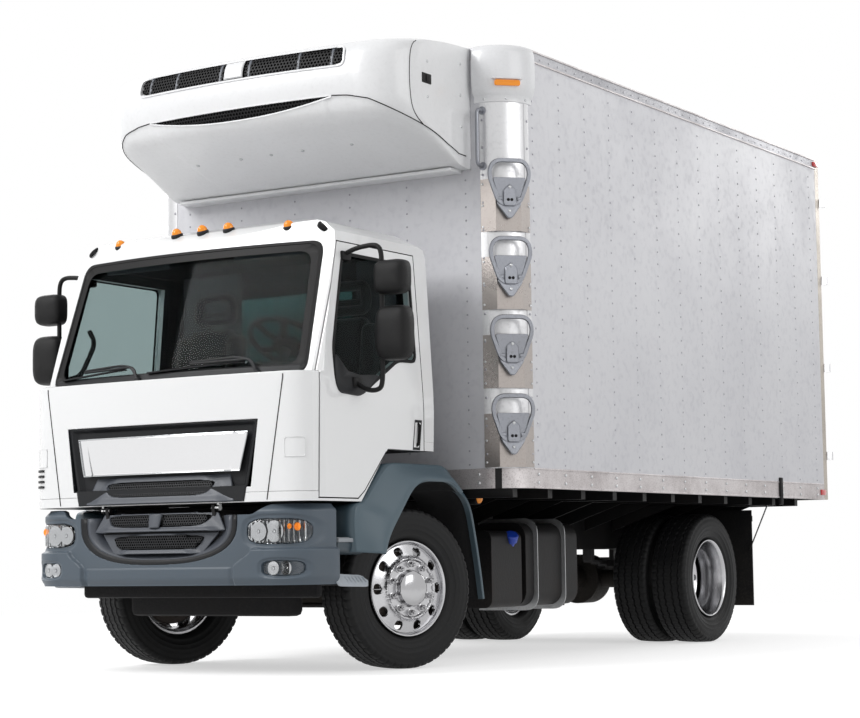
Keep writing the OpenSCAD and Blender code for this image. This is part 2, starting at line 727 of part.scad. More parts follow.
// mirrors: [low z, high z, inner x, outer x]
mirror_heads = [[1965, 2145, 1085, 1285], [1620, 1905, 1090, 1300]];
mirror_y = 440;
arm_z = [1440, 2234];
module door_mirrors() {
    for (m = mirror_heads)
        block([m[2], mirror_y, m[0]], [m[3], mirror_y + 90, m[1]]);
    bar_z(14, 1120, mirror_y + 60, arm_z[0] - 14, arm_z[1] + 14);
    for (i = [0, 1])
        bar_x(14, cab_half - 25 - i * 50, 1120, mirror_y + 60, arm_z[i]);
}
module mirrors_left() color(black) from_front() door_mirrors();
module mirrors_right() color(black) from_front() mirror([1, 0, 0]) door_mirrors();

// ---- steering ----

// Puts a piece drawn round a left kingpin, wheels straight, at its parked angle.
module steered(side) translate([side * kingpin_x, front_y, tyre_r])
    rotate([0, 0, -steer_deg]) mirror([side < 0 ? 1 : 0, 0, 0]) children();

fork_z = boss_h / 2 + 3;          // inner faces of the knuckle's fork
fork_t = 26;
arm_len = 150;                    // steering arm, back from the kingpin
ball_r = 14;
tie_z = -fork_z - fork_t - 20;    // tie rod's middle below the axle line
module knuckle() {
    for (side = [-1, 1])
        translate([0, 0, side * (fork_z + fork_t / 2)]) {
            cylinder(r = 40, h = fork_t, center = true);
            translate([0, -34, -fork_t / 2]) cube([78, 68, fork_t]);
        }
    cylinder(r = kingpin_r - fit, h = 2 * fork_z + 1, center = true);
    translate([54, -45, -fork_z - fork_t]) cube([26, 90, 2 * (fork_z + fork_t)]);
    rotate([0, 90, 0]) translate([0, 0, 54]) cylinder(r = spindle_r - fit, h = kingpin_offset + 62 - 54);
    rotate([0, 90, 0]) translate([0, 0, 70]) cylinder(r = 60, h = 14);
    // steering arm and its upright ball pin
    translate([-20, 0, -fork_z - fork_t]) cube([40, arm_len + 18, 22]);
    translate([0, arm_len, tie_z - 20]) cylinder(r = ball_r - fit, h = 50);
}
module knuckle_left() color(dark) from_front() steered(1) knuckle();
module knuckle_right() color(dark) from_front() steered(-1) knuckle();

// The ball pins' places with the wheels parked: [side's x, y].
function pin_at(side) = [side * kingpin_x + arm_len * sin(steer_deg),
    front_y + arm_len * cos(steer_deg)];
module tie_rod() color(dark) from_front() difference() {
    union() {
        bar_x(15, pin_at(-1)[0] + 20, pin_at(1)[0] - 20, pin_at(1)[1], tyre_r + tie_z);
        for (side = [-1, 1])
            translate([pin_at(side)[0], pin_at(side)[1], tyre_r + tie_z - 16])
                cylinder(r = 30, h = 32);
    }
    for (side = [-1, 1])
        translate([pin_at(side)[0], pin_at(side)[1], tyre_r + tie_z - 30])
            cylinder(r = side > 0 ? ball_r : ball_r + 4, h = 60);
}

// ---- wheels ----

bead_r = rim_r - 12;
bead_half = 98;

// A tyre round the X axis, its middle at x = 0.
module tyre() rotate([0, 90, 0]) rotate_extrude($fn = 96) polygon([
    [bead_r, -bead_half], [rim_r + 4, -bead_half], [rim_r + 18, 14 - tyre_w / 2 + 4],
    [rim_r + 70, -tyre_w / 2], [tyre_r - 74, -tyre_w / 2], [tyre_r - 24, 8 - tyre_w / 2],
    [tyre_r - 6, 24 - tyre_w / 2], [tyre_r, 42 - tyre_w / 2], [tyre_r, tyre_w / 2 - 42],
    [tyre_r - 6, tyre_w / 2 - 24], [tyre_r - 24, tyre_w / 2 - 8], [tyre_r - 74, tyre_w / 2],
    [rim_r + 70, tyre_w / 2], [rim_r + 18, tyre_w / 2 - 18], [rim_r + 4, bead_half],
    [bead_r, bead_half]]);

// A wheel round the X axis: flanged barrel, and a dished disc out to its face.
hand_holes = 10;
disc_face = dual_gap / 2;
module rim(bore) difference() {
    rotate([0, 90, 0]) rotate_extrude($fn = 96) polygon([
        [rim_r, -bead_half - 12], [rim_r, -bead_half], [bead_r, -bead_half],
        [bead_r, bead_half], [rim_r, bead_half], [rim_r, bead_half + 12],
        [bead_r - 8, bead_half + 12], [bead_r - 14, 76], [bead_r - 40, disc_face - 30],
        [150, disc_face], [bore, disc_face], [bore, disc_face - 22], [145, disc_face - 22],
        [bead_r - 50, disc_face - 52], [bead_r - 24, 40], [bead_r - 12, -bead_half - 12]]);
    for (i = [0 : hand_holes - 1])
        rotate([i * 360 / hand_holes, 0, 0]) translate([0, 0, 183])
            rotate([0, 90, 0]) cylinder(r = 24, h = 300);
}

drum_r = 190;
module front_wheel_set() {
    rim(100);
    // hub, and the brake drum behind the disc
    rotate([0, 90, 0]) difference() {
        union() {
            translate([0, 0, 30]) cylinder(r = 101, h = disc_face - 8);
            translate([0, 0, 0]) cylinder(r = drum_r, h = 60);
        }
        translate([0, 0, -1]) cylinder(r = spindle_r, h = disc_face - 20);
        translate([0, 0, -1]) cylinder(r = drum_r - 16, h = 31);
    }
}

module tyre_front_left() color(black) from_front() steered(1)
    translate([kingpin_offset, 0, 0]) tyre();
module tyre_front_right() color(black) from_front() steered(-1)
    translate([kingpin_offset, 0, 0]) tyre();
module wheel_front_left() color(steel) from_front() steered(1)
    translate([kingpin_offset, 0, 0]) front_wheel_set();
module wheel_front_right() color(steel) from_front() steered(-1)
    translate([kingpin_offset, 0, 0]) front_wheel_set();

rear_inner_x = rear_track_half - dual_gap - 60;   // brake side of the hub
module rear_tyres() for (x = [rear_track_half, rear_track_half - dual_gap])
    translate([x, rear_y, tyre_r]) tyre();
module rear_wheels() translate([0, rear_y, tyre_r]) {
    translate([rear_track_half, 0, 0]) mirror([1, 0, 0]) rim(100);
    translate([rear_track_half - dual_gap, 0, 0]) rim(100);
    translate([rear_inner_x + 6, 0, 0]) rotate([0, 90, 0]) difference() {
        union() {
            cylinder(r = drum_r, h = rear_mid_x - rear_inner_x - 40);
            cylinder(r = 101, h = rear_mid_x - rear_inner_x + 80);
        }
        translate([0, 0, -1]) cylinder(r = rear_spindle_r + fit, h = rear_mid_x - rear_inner_x + 63);
        translate([0, 0, -1]) cylinder(r = drum_r - 16, h = 60);
    }
}
module tyres_rear_left() color(black) from_front() rear_tyres();
module tyres_rear_right() color(black) from_front() mirror([1, 0, 0]) rear_tyres();
module wheels_rear_left() color(steel) from_front() rear_wheels();
module wheels_rear_right() color(steel) from_front() mirror([1, 0, 0]) rear_wheels();

// ---- rear doors ----

rear_hinge_z = [1300, 1950, 2600, 3180];
hinge_x = box_half + 12;          // pin, outside the corner of the box
hinge_y = box_rear + 45;
hinge_pin_r = 9;
strap_h = 60;
rod_x = [170, 620];               // locking bars
module rear_door() {
    edge = box_half - door_frame_w - rear_gap;
    block([rear_gap / 2, box_rear - box_wall, rear_sill_z + rear_gap],
        [edge, box_rear, rear_head_z - rear_gap]);
    for (z = rear_hinge_z) difference() {
        union() {
            block([edge - 160, box_rear, z - strap_h / 2], [edge - 10, box_rear + 18, z + strap_h / 2]);
            side_strap(edge - 20, z);
            bar_z(18, hinge_x, hinge_y, z - strap_h / 2, z + strap_h / 2);
        }
        bar_z(hinge_pin_r + fit, hinge_x, hinge_y, z - strap_h, z + strap_h);
    }
    for (x = rod_x) {
        bar_z(13, x, box_rear + 20, rear_sill_z + 30, rear_head_z - 30);
        for (z = [rear_sill_z + 120, 1800, 2400, rear_head_z - 120])
            block([x - 30, box_rear, z - 20], [x + 30, box_rear + 18, z + 20]);
    }
    block([rod_x[0] - 8, box_rear + 12, 1500], [rod_x[0] + 230, box_rear + 30, 1530]);
}
// The strap from the door's face out to its pin, clear of the door frame.
module side_strap(x0, z) translate([0, 0, z - strap_h / 2]) linear_extrude(strap_h)
    polygon([[x0, box_rear + 8], [hinge_x - 12, box_rear + 8], [hinge_x + 12, hinge_y - 14],
        [hinge_x - 12, hinge_y + 2], [hinge_x - 30, box_rear + 18], [x0, box_rear + 18]]);

module rear_door_left() color(white) from_front() rear_door();
module rear_door_right() color(white) from_front() mirror([1, 0, 0]) rear_door();

chassis_frame();
front_axle();
rear_axle();
leaf_springs();
drive_shaft();
engine_block();
fuel_tank();
battery_box();
exhaust();
front_bumper();
headlights();
front_fenders();
entry_steps();
rear_mudflaps();
rear_bumper();
tail_lights();
body_floor();
body_side_left();
body_side_right();
body_front_wall();
body_roof();
rear_frame();
corner_posts();
folding_steps();
refrigeration_unit();
cab_floor();
cab_shell();
cab_front();
grille();
windscreen();
rear_window();
dashboard();
seats();
wipers();
steering_wheel();
door_left();
door_right();
door_glass_left();
door_glass_right();
mirrors_left();
mirrors_right();
knuckle_left();
knuckle_right();
tie_rod();
tyre_front_left();
tyre_front_right();
wheel_front_left();
wheel_front_right();
tyres_rear_left();
tyres_rear_right();
wheels_rear_left();
wheels_rear_right();
rear_door_left();
rear_door_right();
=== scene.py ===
"""A refrigerated truck: forward-control cab, insulated box and a cooling unit on the box's nose.

Metres. X runs to the truck's left, Y from its front to its rear, Z up from the road.
Shapes are drawn as (x, back, z), where back is the distance behind the bumper's face.
"""
import json
import math

import bmesh
import bpy
import numpy as np
from mathutils import Matrix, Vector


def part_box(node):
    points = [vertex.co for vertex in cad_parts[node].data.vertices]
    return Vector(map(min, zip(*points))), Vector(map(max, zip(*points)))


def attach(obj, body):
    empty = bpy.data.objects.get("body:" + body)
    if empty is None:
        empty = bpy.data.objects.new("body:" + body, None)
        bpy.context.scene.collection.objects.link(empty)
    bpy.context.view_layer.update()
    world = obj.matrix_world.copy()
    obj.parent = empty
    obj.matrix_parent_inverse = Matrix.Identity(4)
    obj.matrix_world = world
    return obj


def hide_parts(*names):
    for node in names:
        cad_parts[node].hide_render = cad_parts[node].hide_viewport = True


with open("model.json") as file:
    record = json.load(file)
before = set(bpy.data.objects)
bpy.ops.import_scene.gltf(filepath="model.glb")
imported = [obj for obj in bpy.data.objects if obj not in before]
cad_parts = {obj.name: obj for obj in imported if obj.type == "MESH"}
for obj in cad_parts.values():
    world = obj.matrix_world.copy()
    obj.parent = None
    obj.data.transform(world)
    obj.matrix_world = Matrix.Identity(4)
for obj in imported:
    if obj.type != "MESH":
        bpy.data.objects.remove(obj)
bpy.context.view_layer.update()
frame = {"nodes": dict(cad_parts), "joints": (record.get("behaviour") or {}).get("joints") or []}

# ---- camera ----------------------------------------------------------------
# A long lens low in front of the truck's left corner, looking slightly up.
camera_yaw, camera_pitch, camera_roll = map(math.radians, (32.436, 5.311, -0.804))
ahead = np.array((-math.sin(camera_yaw) * math.cos(camera_pitch),
                  math.cos(camera_yaw) * math.cos(camera_pitch), math.sin(camera_pitch)))
level = np.cross(ahead, (0, 0, 1))
level /= np.linalg.norm(level)
above = np.cross(level, ahead)
right = math.cos(camera_roll) * level + math.sin(camera_roll) * above
upright = math.cos(camera_roll) * above - math.sin(camera_roll) * level
lens = bpy.data.cameras.new("camera")
lens.lens, lens.sensor_width = 88.81, 36.0
lens.clip_start, lens.clip_end = 0.1, 300
camera = bpy.data.objects.new("camera", lens)
bpy.context.scene.collection.objects.link(camera)
camera.matrix_world = Matrix.Translation((7.213, -11.709, 0.606)) @ Matrix(
    np.column_stack((right, upright, -ahead)).tolist()).to_4x4()
bpy.context.scene.camera = camera
bpy.context.scene.view_settings.view_transform = "Standard"


# ---- studio ----------------------------------------------------------------
# A white sky, a broad key light high in front, a weaker one on the truck's left,
# and a floor that is white where it is lit and keeps the truck's shadow.
def node(tree, kind, sockets=(), **settings):
    """A node with its settings; sockets pairs an input with a value or another node's output."""
    made = tree.nodes.new(kind)
    for name, value in settings.items():
        setattr(made, name, value)
    for name, value in dict(sockets).items():
        if isinstance(value, bpy.types.NodeSocket):
            tree.links.new(value, made.inputs[name])
        else:
            made.inputs[name].default_value = value
    return made


def seen_directly(tree):
    """1 for rays from the camera, a mirror or glass, and 0 for the light that falls on things."""
    path = node(tree, "ShaderNodeLightPath")
    shiny = node(tree, "ShaderNodeMath", {0: path.outputs["Is Camera Ray"],
                 1: path.outputs["Is Glossy Ray"]}, operation="MAXIMUM")
    return node(tree, "ShaderNodeMath", {0: shiny.outputs[0],
                1: path.outputs["Is Transmission Ray"]}, operation="MAXIMUM").outputs[0]


SKY_LIGHT = 0.54
sky = bpy.data.worlds.new("sky")
sky.use_nodes = True
tree = sky.node_tree
tree.nodes.clear()
strength = node(tree, "ShaderNodeMapRange", {"Value": seen_directly(tree),
                "To Min": SKY_LIGHT, "To Max": 1.0})
lit = node(tree, "ShaderNodeBackground", {"Color": (1, 1, 1, 1), "Strength": strength.outputs[0]})
tree.links.new(lit.outputs[0], node(tree, "ShaderNodeOutputWorld").inputs["Surface"])
bpy.context.scene.world = sky

for name, place, aim, size, watts in (
        ("key light", (-5.0, -11.0, 9.0), (0, -1, 1.2), 6.0, 1150),
        ("left light", (12.0, -2.0, 6.0), (0, 1, 1.5), 7.0, 420),
        ("right light", (-12.0, 4.0, 7.0), (0, 1, 1.5), 7.0, 420),
        ("rear light", (3.0, 13.0, 7.0), (0, 2, 1.5), 6.0, 520)):
    lamp = bpy.data.lights.new(name, "AREA")
    lamp.size, lamp.energy = size, watts
    stand = bpy.data.objects.new(name, lamp)
    toward = np.array(aim, float) - place
    side = np.cross(toward, (0, 0, 1))
    side /= np.linalg.norm(side)
    toward /= np.linalg.norm(toward)
    stand.matrix_world = Matrix.Translation(place) @ Matrix(
        np.column_stack((side, np.cross(side, toward), -toward)).tolist()).to_4x4()
    bpy.context.scene.collection.objects.link(stand)

FLOOR_REACH = 150.0
floor_mesh = bpy.data.meshes.new("floor")
floor_mesh.from_pydata([(x, y, 0) for x, y in ((-FLOOR_REACH, -FLOOR_REACH), (FLOOR_REACH, -FLOOR_REACH),
                       (FLOOR_REACH, FLOOR_REACH), (-FLOOR_REACH, FLOOR_REACH))], [], [(0, 1, 2, 3)])
studio_floor = bpy.data.objects.new("studio floor", floor_mesh)
bpy.context.scene.collection.objects.link(studio_floor)
pale = bpy.data.materials.new("pale floor")
pale.use_nodes = True
tree = pale.node_tree
tree.nodes.clear()
glow = node(tree, "ShaderNodeMapRange", {"Value": seen_directly(tree), "To Min": 0.0, "To Max": 0.56})
both = node(tree, "ShaderNodeAddShader", {
    0: node(tree, "ShaderNodeBsdfDiffuse", {"Color": (0.62, 0.62, 0.62, 1)}).outputs[0],
    1: node(tree, "ShaderNodeEmission", {"Color": (1, 1, 1, 1), "Strength": glow.outputs[0]}).outputs[0]})
reach = node(tree, "ShaderNodeVectorMath", {0: node(tree, "ShaderNodeTexCoord").outputs["Object"]},
             operation="LENGTH")
far_off = node(tree, "ShaderNodeMapRange", {"Value": reach.outputs["Value"], "From Min": 4.5,
                                            "From Max": 12.0})
fade = node(tree, "ShaderNodeMath", {0: far_off.outputs[0], 1: seen_directly(tree)}, operation="MULTIPLY")
faded = node(tree, "ShaderNodeMixShader", {0: fade.outputs[0], 1: both.outputs[0],
             2: node(tree, "ShaderNodeEmission", {"Color": (1, 1, 1, 1)}).outputs[0]})
tree.links.new(faded.outputs[0], node(tree, "ShaderNodeOutputMaterial").inputs["Surface"])
floor_mesh.materials.append(pale)


# ---- chassis ---------------------------------------------------------------
# Two pressed channel rails with riveted crossmembers, painted black and dusted by
# the road. Springs, axles and shaft hang below; the engine is a plain cast block.
def wear_group():
    """Node group: broad blotches and fine specks that thicken towards the road.

    mask = amount * (blotches + specks) * (0.35 at Height, rising to 1.5 at 0.1 m), clamped to 0..1.
    """
    group = bpy.data.node_groups.new("road wear", "ShaderNodeTree")
    for name, kind, start in (("Clean", "NodeSocketColor", (1, 1, 1, 1)),
                              ("Dust", "NodeSocketColor", (0.3, 0.28, 0.25, 1)),
                              ("Amount", "NodeSocketFloat", 0.3), ("Height", "NodeSocketFloat", 0.8),
                              ("Scale", "NodeSocketFloat", 3.0), ("Roughness", "NodeSocketFloat", 0.4)):
        group.interface.new_socket(name, in_out="INPUT", socket_type=kind).default_value = start
    for name, kind in (("Color", "NodeSocketColor"), ("Roughness", "NodeSocketFloat"),
                       ("Mask", "NodeSocketFloat")):
        group.interface.new_socket(name, in_out="OUTPUT", socket_type=kind)
    put, out = node(group, "NodeGroupInput").outputs, node(group, "NodeGroupOutput").inputs
    place = node(group, "ShaderNodeTexCoord").outputs["Object"]
    blotch = node(group, "ShaderNodeTexNoise", {"Vector": place, "Scale": put["Scale"], "Detail": 6,
                  "Roughness": 0.65}).outputs["Fac"]
    soft = node(group, "ShaderNodeMapRange", {"Value": blotch, "From Min": 0.38, "From Max": 0.72}).outputs[0]
    fine = node(group, "ShaderNodeMath", {0: put["Scale"], 1: 34.0}, operation="MULTIPLY").outputs[0]
    speck = node(group, "ShaderNodeTexNoise", {"Vector": place, "Scale": fine, "Detail": 3}).outputs["Fac"]
    sharp = node(group, "ShaderNodeMapRange", {"Value": speck, "From Min": 0.5, "From Max": 0.75}).outputs[0]
    height = node(group, "ShaderNodeSeparateXYZ", {0: place}).outputs["Z"]
    low = node(group, "ShaderNodeMapRange", {"Value": height, "From Min": put["Height"], "From Max": 0.1,
               "To Min": 0.35, "To Max": 1.5}).outputs[0]
    spots = node(group, "ShaderNodeMath", {0: soft, 1: sharp}, operation="ADD").outputs[0]
    dusted = node(group, "ShaderNodeMath", {0: spots, 1: low}, operation="MULTIPLY").outputs[0]
    mask = node(group, "ShaderNodeMath", {0: dusted, 1: put["Amount"]}, operation="MULTIPLY",
                use_clamp=True).outputs[0]
    mixed = node(group, "ShaderNodeMix", {"Factor": mask, "A": put["Clean"], "B": put["Dust"]},
                 data_type="RGBA")
    group.links.new(put["Clean"], mixed.inputs[6])
    group.links.new(put["Dust"], mixed.inputs[7])
    group.links.new(mixed.outputs[2], out["Color"])
    rough = node(group, "ShaderNodeMath", {0: mask, 1: 0.5, 2: put["Roughness"]},
                 operation="MULTIPLY_ADD", use_clamp=True)
    group.links.new(rough.outputs[0], out["Roughness"])
    group.links.new(mask, out["Mask"])
    return group


def grain_group():
    """Node group: a bump of noise stretched along each axis, for cast, moulded or brushed skins."""
    group = bpy.data.node_groups.new("skin grain", "ShaderNodeTree")
    for name, kind, start in (("Stretch", "NodeSocketVector", (1, 1, 1)), ("Depth", "NodeSocketFloat", 0.1),
                              ("Detail", "NodeSocketFloat", 3.0)):
        group.interface.new_socket(name, in_out="INPUT", socket_type=kind).default_value = start
    for name, kind in (("Normal", "NodeSocketVector"), ("Value", "NodeSocketFloat")):
        group.interface.new_socket(name, in_out="OUTPUT", socket_type=kind)
    put, out = node(group, "NodeGroupInput").outputs, node(group, "NodeGroupOutput").inputs
    place = node(group, "ShaderNodeTexCoord").outputs["Object"]
    drawn = node(group, "ShaderNodeVectorMath", {0: place, 1: put["Stretch"]}, operation="MULTIPLY")
    pattern = node(group, "ShaderNodeTexNoise", {"Vector": drawn.outputs[0], "Scale": 1.0,
                   "Detail": put["Detail"]}).outputs["Fac"]
    bump = node(group, "ShaderNodeBump", {"Height": pattern, "Strength": put["Depth"], "Distance": 0.01})
    group.links.new(bump.outputs[0], out["Normal"])
    group.links.new(pattern, out["Value"])
    return group


road_wear, skin_grain = wear_group(), grain_group()
ROAD_DUST = (0.10, 0.088, 0.075)


def finish(name, colour, roughness, metallic=0.0, dust=ROAD_DUST, amount=0.12, height=0.9, scale=2.5,
           stretch=120, depth=0.05, coat=0.0, coat_roughness=0.05, **sockets):
    """A finish: one colour under road wear, with a grain that is stretched along the surface."""
    material = bpy.data.materials.new(name)
    material.use_nodes = True
    tree = material.node_tree
    shader = tree.nodes["Principled BSDF"]
    wear = node(tree, "ShaderNodeGroup", node_tree=road_wear)
    for key, value in (("Clean", (*colour, 1)), ("Dust", (*dust, 1)), ("Amount", amount),
                       ("Height", height), ("Scale", scale), ("Roughness", roughness)):
        wear.inputs[key].default_value = value
    grain = node(tree, "ShaderNodeGroup", node_tree=skin_grain)
    grain.inputs["Stretch"].default_value = stretch if isinstance(stretch, tuple) else (stretch,) * 3
    grain.inputs["Depth"].default_value = depth
    tree.links.new(wear.outputs["Color"], shader.inputs["Base Color"])
    tree.links.new(wear.outputs["Roughness"], shader.inputs["Roughness"])
    tree.links.new(grain.outputs["Normal"], shader.inputs["Normal"])
    shader.inputs["Metallic"].default_value = metallic
    shader.inputs["Coat Weight"].default_value = coat
    shader.inputs["Coat Roughness"].default_value = coat_roughness
    for key, value in sockets.items():
        shader.inputs[key.replace("_", " ")].default_value = value
    return material


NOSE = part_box("front_bumper")[0].y
SIDES = (("left", 1), ("right", -1))
root = bpy.context.scene.collection


def settle(mesh_data, name, materials, body, stands_for=(), crease=32.0):
    """Puts a mesh into the scene: smooth but for edges sharper than crease, riding on its body."""
    mesh_data.polygons.foreach_set("use_smooth", np.ones(len(mesh_data.polygons), bool))
    mesh_data.set_sharp_from_angle(angle=math.radians(crease))
    for material in materials:
        mesh_data.materials.append(material)
    piece = bpy.data.objects.new(name.replace(" ", "_"), mesh_data)
    root.objects.link(piece)
    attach(piece, body)
    if stands_for:
        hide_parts(*([stands_for] if isinstance(stands_for, str) else stands_for))
    return piece


def build(name, shells, materials, body, stands_for=(), crease=32.0):
    """One mesh from grids of points, each rows x ring x 3.

    A ring closes on itself. The first and last rings are closed with a face, unless the last
    ring is the first one again, which makes a hoop. A shell may be a pair: grid, finish number.
    """
    if not isinstance(materials, (list, tuple)):
        materials = [materials]
    points, faces, finishes, start = [], [], [], 0
    for shell in shells:
        grid, kind = shell if isinstance(shell, tuple) else (shell, 0)
        hoop = np.allclose(grid[0], grid[-1])
        if hoop:
            grid = grid[:-1]
        rows, ring = grid.shape[:2]
        index = start + np.arange(rows * ring).reshape(rows, ring)
        after = np.roll(index, -1, 0) if hoop else index[1:]
        here = index if hoop else index[:-1]
        quads = np.stack((here, np.roll(here, -1, 1), np.roll(after, -1, 1), after), -1).reshape(-1, 4)
        made = quads.tolist() + ([] if hoop else [index[0][::-1].tolist(), index[-1].tolist()])
        faces += made
        finishes += [kind] * len(made)
        points.append(grid.reshape(-1, 3))
        start += rows * ring
    places = np.concatenate(points) + (0, NOSE, 0)
    mesh_data = bpy.data.meshes.new(name)
    mesh_data.from_pydata(places.tolist(), [], faces)
    mesh_data.polygons.foreach_set("material_index", finishes)
    work = bmesh.new()
    work.from_mesh(mesh_data)
    bmesh.ops.remove_doubles(work, verts=work.verts, dist=1e-6)
    bmesh.ops.recalc_face_normals(work, faces=work.faces)
    work.to_mesh(mesh_data)
    work.free()
    return settle(mesh_data, name, materials, body, stands_for, crease)


def dressed(node_name, material, body, edge=0.003, crease=24.0):
    """A CAD node's own shape with its triangles merged, its curves smooth and its edges rounded by edge."""
    work = bmesh.new()
    work.from_mesh(frame["nodes"][node_name].data)
    bmesh.ops.remove_doubles(work, verts=work.verts, dist=1e-5)
    bmesh.ops.dissolve_limit(work, angle_limit=math.radians(0.6), verts=work.verts, edges=work.edges)
    mesh_data = bpy.data.meshes.new(node_name + " skin")
    work.to_mesh(mesh_data)
    work.free()
    piece = settle(mesh_data, node_name + " finished", [material], body, node_name, crease)
    if edge:
        bevel = piece.modifiers.new("rounded edges", "BEVEL")
        bevel.width, bevel.segments, bevel.limit_method = edge, 2, "ANGLE"
        bevel.angle_limit, bevel.harden_normals = math.radians(30), True
        bevel.use_clamp_overlap = True
    return piece


def rounded_block(low, high, radius, steps=3):
    """A block with round edges: the corners of a box shrunk by radius, plus radius times a sphere's
    normal, whose angles are sampled quarter by quarter so that flat faces open between them."""
    low, high = np.array(low, float), np.array(high, float)
    centre, half = (low + high) / 2, (high - low) / 2 - radius
    quarter = np.linspace(0, math.pi / 2, steps)
    turn = (quarter[None, :] + math.pi / 2 * np.arange(4)[:, None]).ravel()
    sx = np.repeat((1, -1, -1, 1), steps)
    sy = np.repeat((1, 1, -1, -1), steps)
    rise = np.concatenate((quarter - math.pi / 2, quarter))
    sz = np.repeat((-1, 1), steps)
    flat = np.cos(rise)[:, None]
    normal = np.stack((flat * np.cos(turn), flat * np.sin(turn),
                       np.repeat(np.sin(rise)[:, None], len(turn), 1)), -1)
    corner = np.stack(np.broadcast_arrays(sx[None, :], sy[None, :], sz[:, None]), -1)
    return centre + corner * half + radius * normal


def turned(profile, centre, axis, n=48):
    """A shape turned on a lathe: each (radius, along) of the profile becomes a ring about the axis."""
    axis = np.array(axis, float) / np.linalg.norm(axis)
    side = np.cross(axis, (0, 0, 1.0) if abs(axis[2]) < 0.9 else (0, 1.0, 0))
    side /= np.linalg.norm(side)
    other = np.cross(axis, side)
    angle = np.linspace(0, 2 * math.pi, n, endpoint=False)
    radius, along = np.array(profile, float).T
    spoke = np.cos(angle)[:, None] * side + np.sin(angle)[:, None] * other
    return np.array(centre) + radius[:, None, None] * spoke[None] + along[:, None, None] * axis


def carried(path, section, up=(0, 0, 1)):
    """A section of (across, up) points carried along a path; across is square to the path and to up."""
    path, section = np.array(path, float), np.array(section, float)
    closed = np.allclose(path[0], path[-1])
    run = np.gradient(path, axis=0)
    if closed:
        run[0] = run[-1] = path[1] - path[-2]
    run /= np.linalg.norm(run, axis=1)[:, None]
    across = np.cross(run, up)
    across /= np.linalg.norm(across, axis=1)[:, None]
    lift = np.cross(across, run)
    return path[:, None] + section[None, :, :1] * across[:, None] + section[None, :, 1:] * lift[:, None]


def flat_bar(half_across, half_up):
    """A rectangle's corners, as the section of a strip."""
    return (-half_across, -half_up), (half_across, -half_up), (half_across, half_up), (-half_across, half_up)


def block_at(x, half, backs, heights, radius, steps=3):
    """A round-edged block reaching half to each side of x, between two depths and two heights."""
    return rounded_block((x - half, backs[0], heights[0]), (x + half, backs[1], heights[1]), radius, steps)


def circle(radius, n=10):
    """A circle's points as (radius * cos, radius * sin), for rods and rings."""
    angle = np.linspace(0, 2 * math.pi, n, endpoint=False)
    return np.column_stack((radius * np.cos(angle), radius * np.sin(angle)))


def eased(corners, radius=0.04, steps=6, closed=False):
    """A path through corners, each turned by a quadratic curve that starts radius before the corner."""
    corners = np.array(corners, float)
    if closed:
        before, after, corner_at = np.roll(corners, 1, 0), np.roll(corners, -1, 0), corners
    else:
        before, after, corner_at = corners[:-2], corners[2:], corners[1:-1]
    into, away = before - corner_at, after - corner_at
    into *= np.minimum(radius / np.linalg.norm(into, axis=1), 0.5)[:, None]
    away *= np.minimum(radius / np.linalg.norm(away, axis=1), 0.5)[:, None]
    t = np.linspace(0, 1, steps)[None, :, None]
    bends = (corner_at[:, None] + into[:, None] * (1 - t) ** 2 + away[:, None] * t ** 2).reshape(-1,
            corners.shape[1])
    if closed:
        return np.vstack((bends, bends[:1]))
    return np.vstack((corners[:1], bends, corners[-1:]))


def outline_of(corners, radius, steps):
    """A closed outline with eased corners, without its repeated last point."""
    return eased(corners, radius, steps, closed=True)[:-1]


def slab(outline, low, high, edge=0.002):
    """A flat plate: a ring of 3-D points lifted from low to high, drawn in by edge at both faces."""
    outline, low, high = (np.array(v, float) for v in (outline, low, high))
    through = high - low
    deep = np.linalg.norm(through)
    centre = outline.mean(0)
    inward = centre - outline
    reach = np.linalg.norm(inward, axis=1)[:, None]
    drawn = outline + inward / reach * edge
    step = through / deep * min(edge, deep / 2)
    return np.stack((drawn + low, outline + low + step, outline + high - step, drawn + high))


def buttons(centres, outward, radius, height, sides=8):
    """Rivet or bolt heads: for each centre a low dome of two rings standing on the surface."""
    shells = []
    outward = np.broadcast_to(np.array(outward, float), np.shape(centres))
    for centre, axis in zip(np.array(centres, float), outward):
        shells.append(turned(((radius, -0.001), (radius, height * 0.4), (radius * 0.62, height)),
                             centre, axis, sides))
    return shells


DULL = {"Specular_IOR_Level": 0.18}  # the weak gloss of black paint, plastic and rubber
chassis_black = finish("chassis black paint", (0.008, 0.008, 0.009), 0.42, dust=(0.055, 0.047, 0.038),
                       amount=0.26, height=1.0, **DULL)
cast_iron = finish("cast iron", (0.035, 0.032, 0.030), 0.62, metallic=0.6, amount=0.45, stretch=260,
                   depth=0.35, **DULL)
spring_steel = finish("spring steel", (0.045, 0.045, 0.047), 0.5, metallic=0.5, amount=0.4,
                      stretch=(200, 30, 200), depth=0.15, **DULL)
for piece_name, skin_finish, body_name, rounding in (("chassis_frame", chassis_black, "chassis", 0.003),
        ("front_axle", cast_iron, "chassis", 0.006), ("rear_axle", cast_iron, "chassis", 0.008),
        ("leaf_springs", spring_steel, "chassis", 0.0015), ("drive_shaft", chassis_black, "chassis", 0.003),
        ("engine_block", cast_iron, "chassis", 0.012), ("knuckle_left", cast_iron, "knuckle_left", 0.004),
        ("knuckle_right", cast_iron, "knuckle_right", 0.004), ("tie_rod", chassis_black, "tie_rod", 0.003)):
    dressed(piece_name, skin_finish, body_name, rounding)


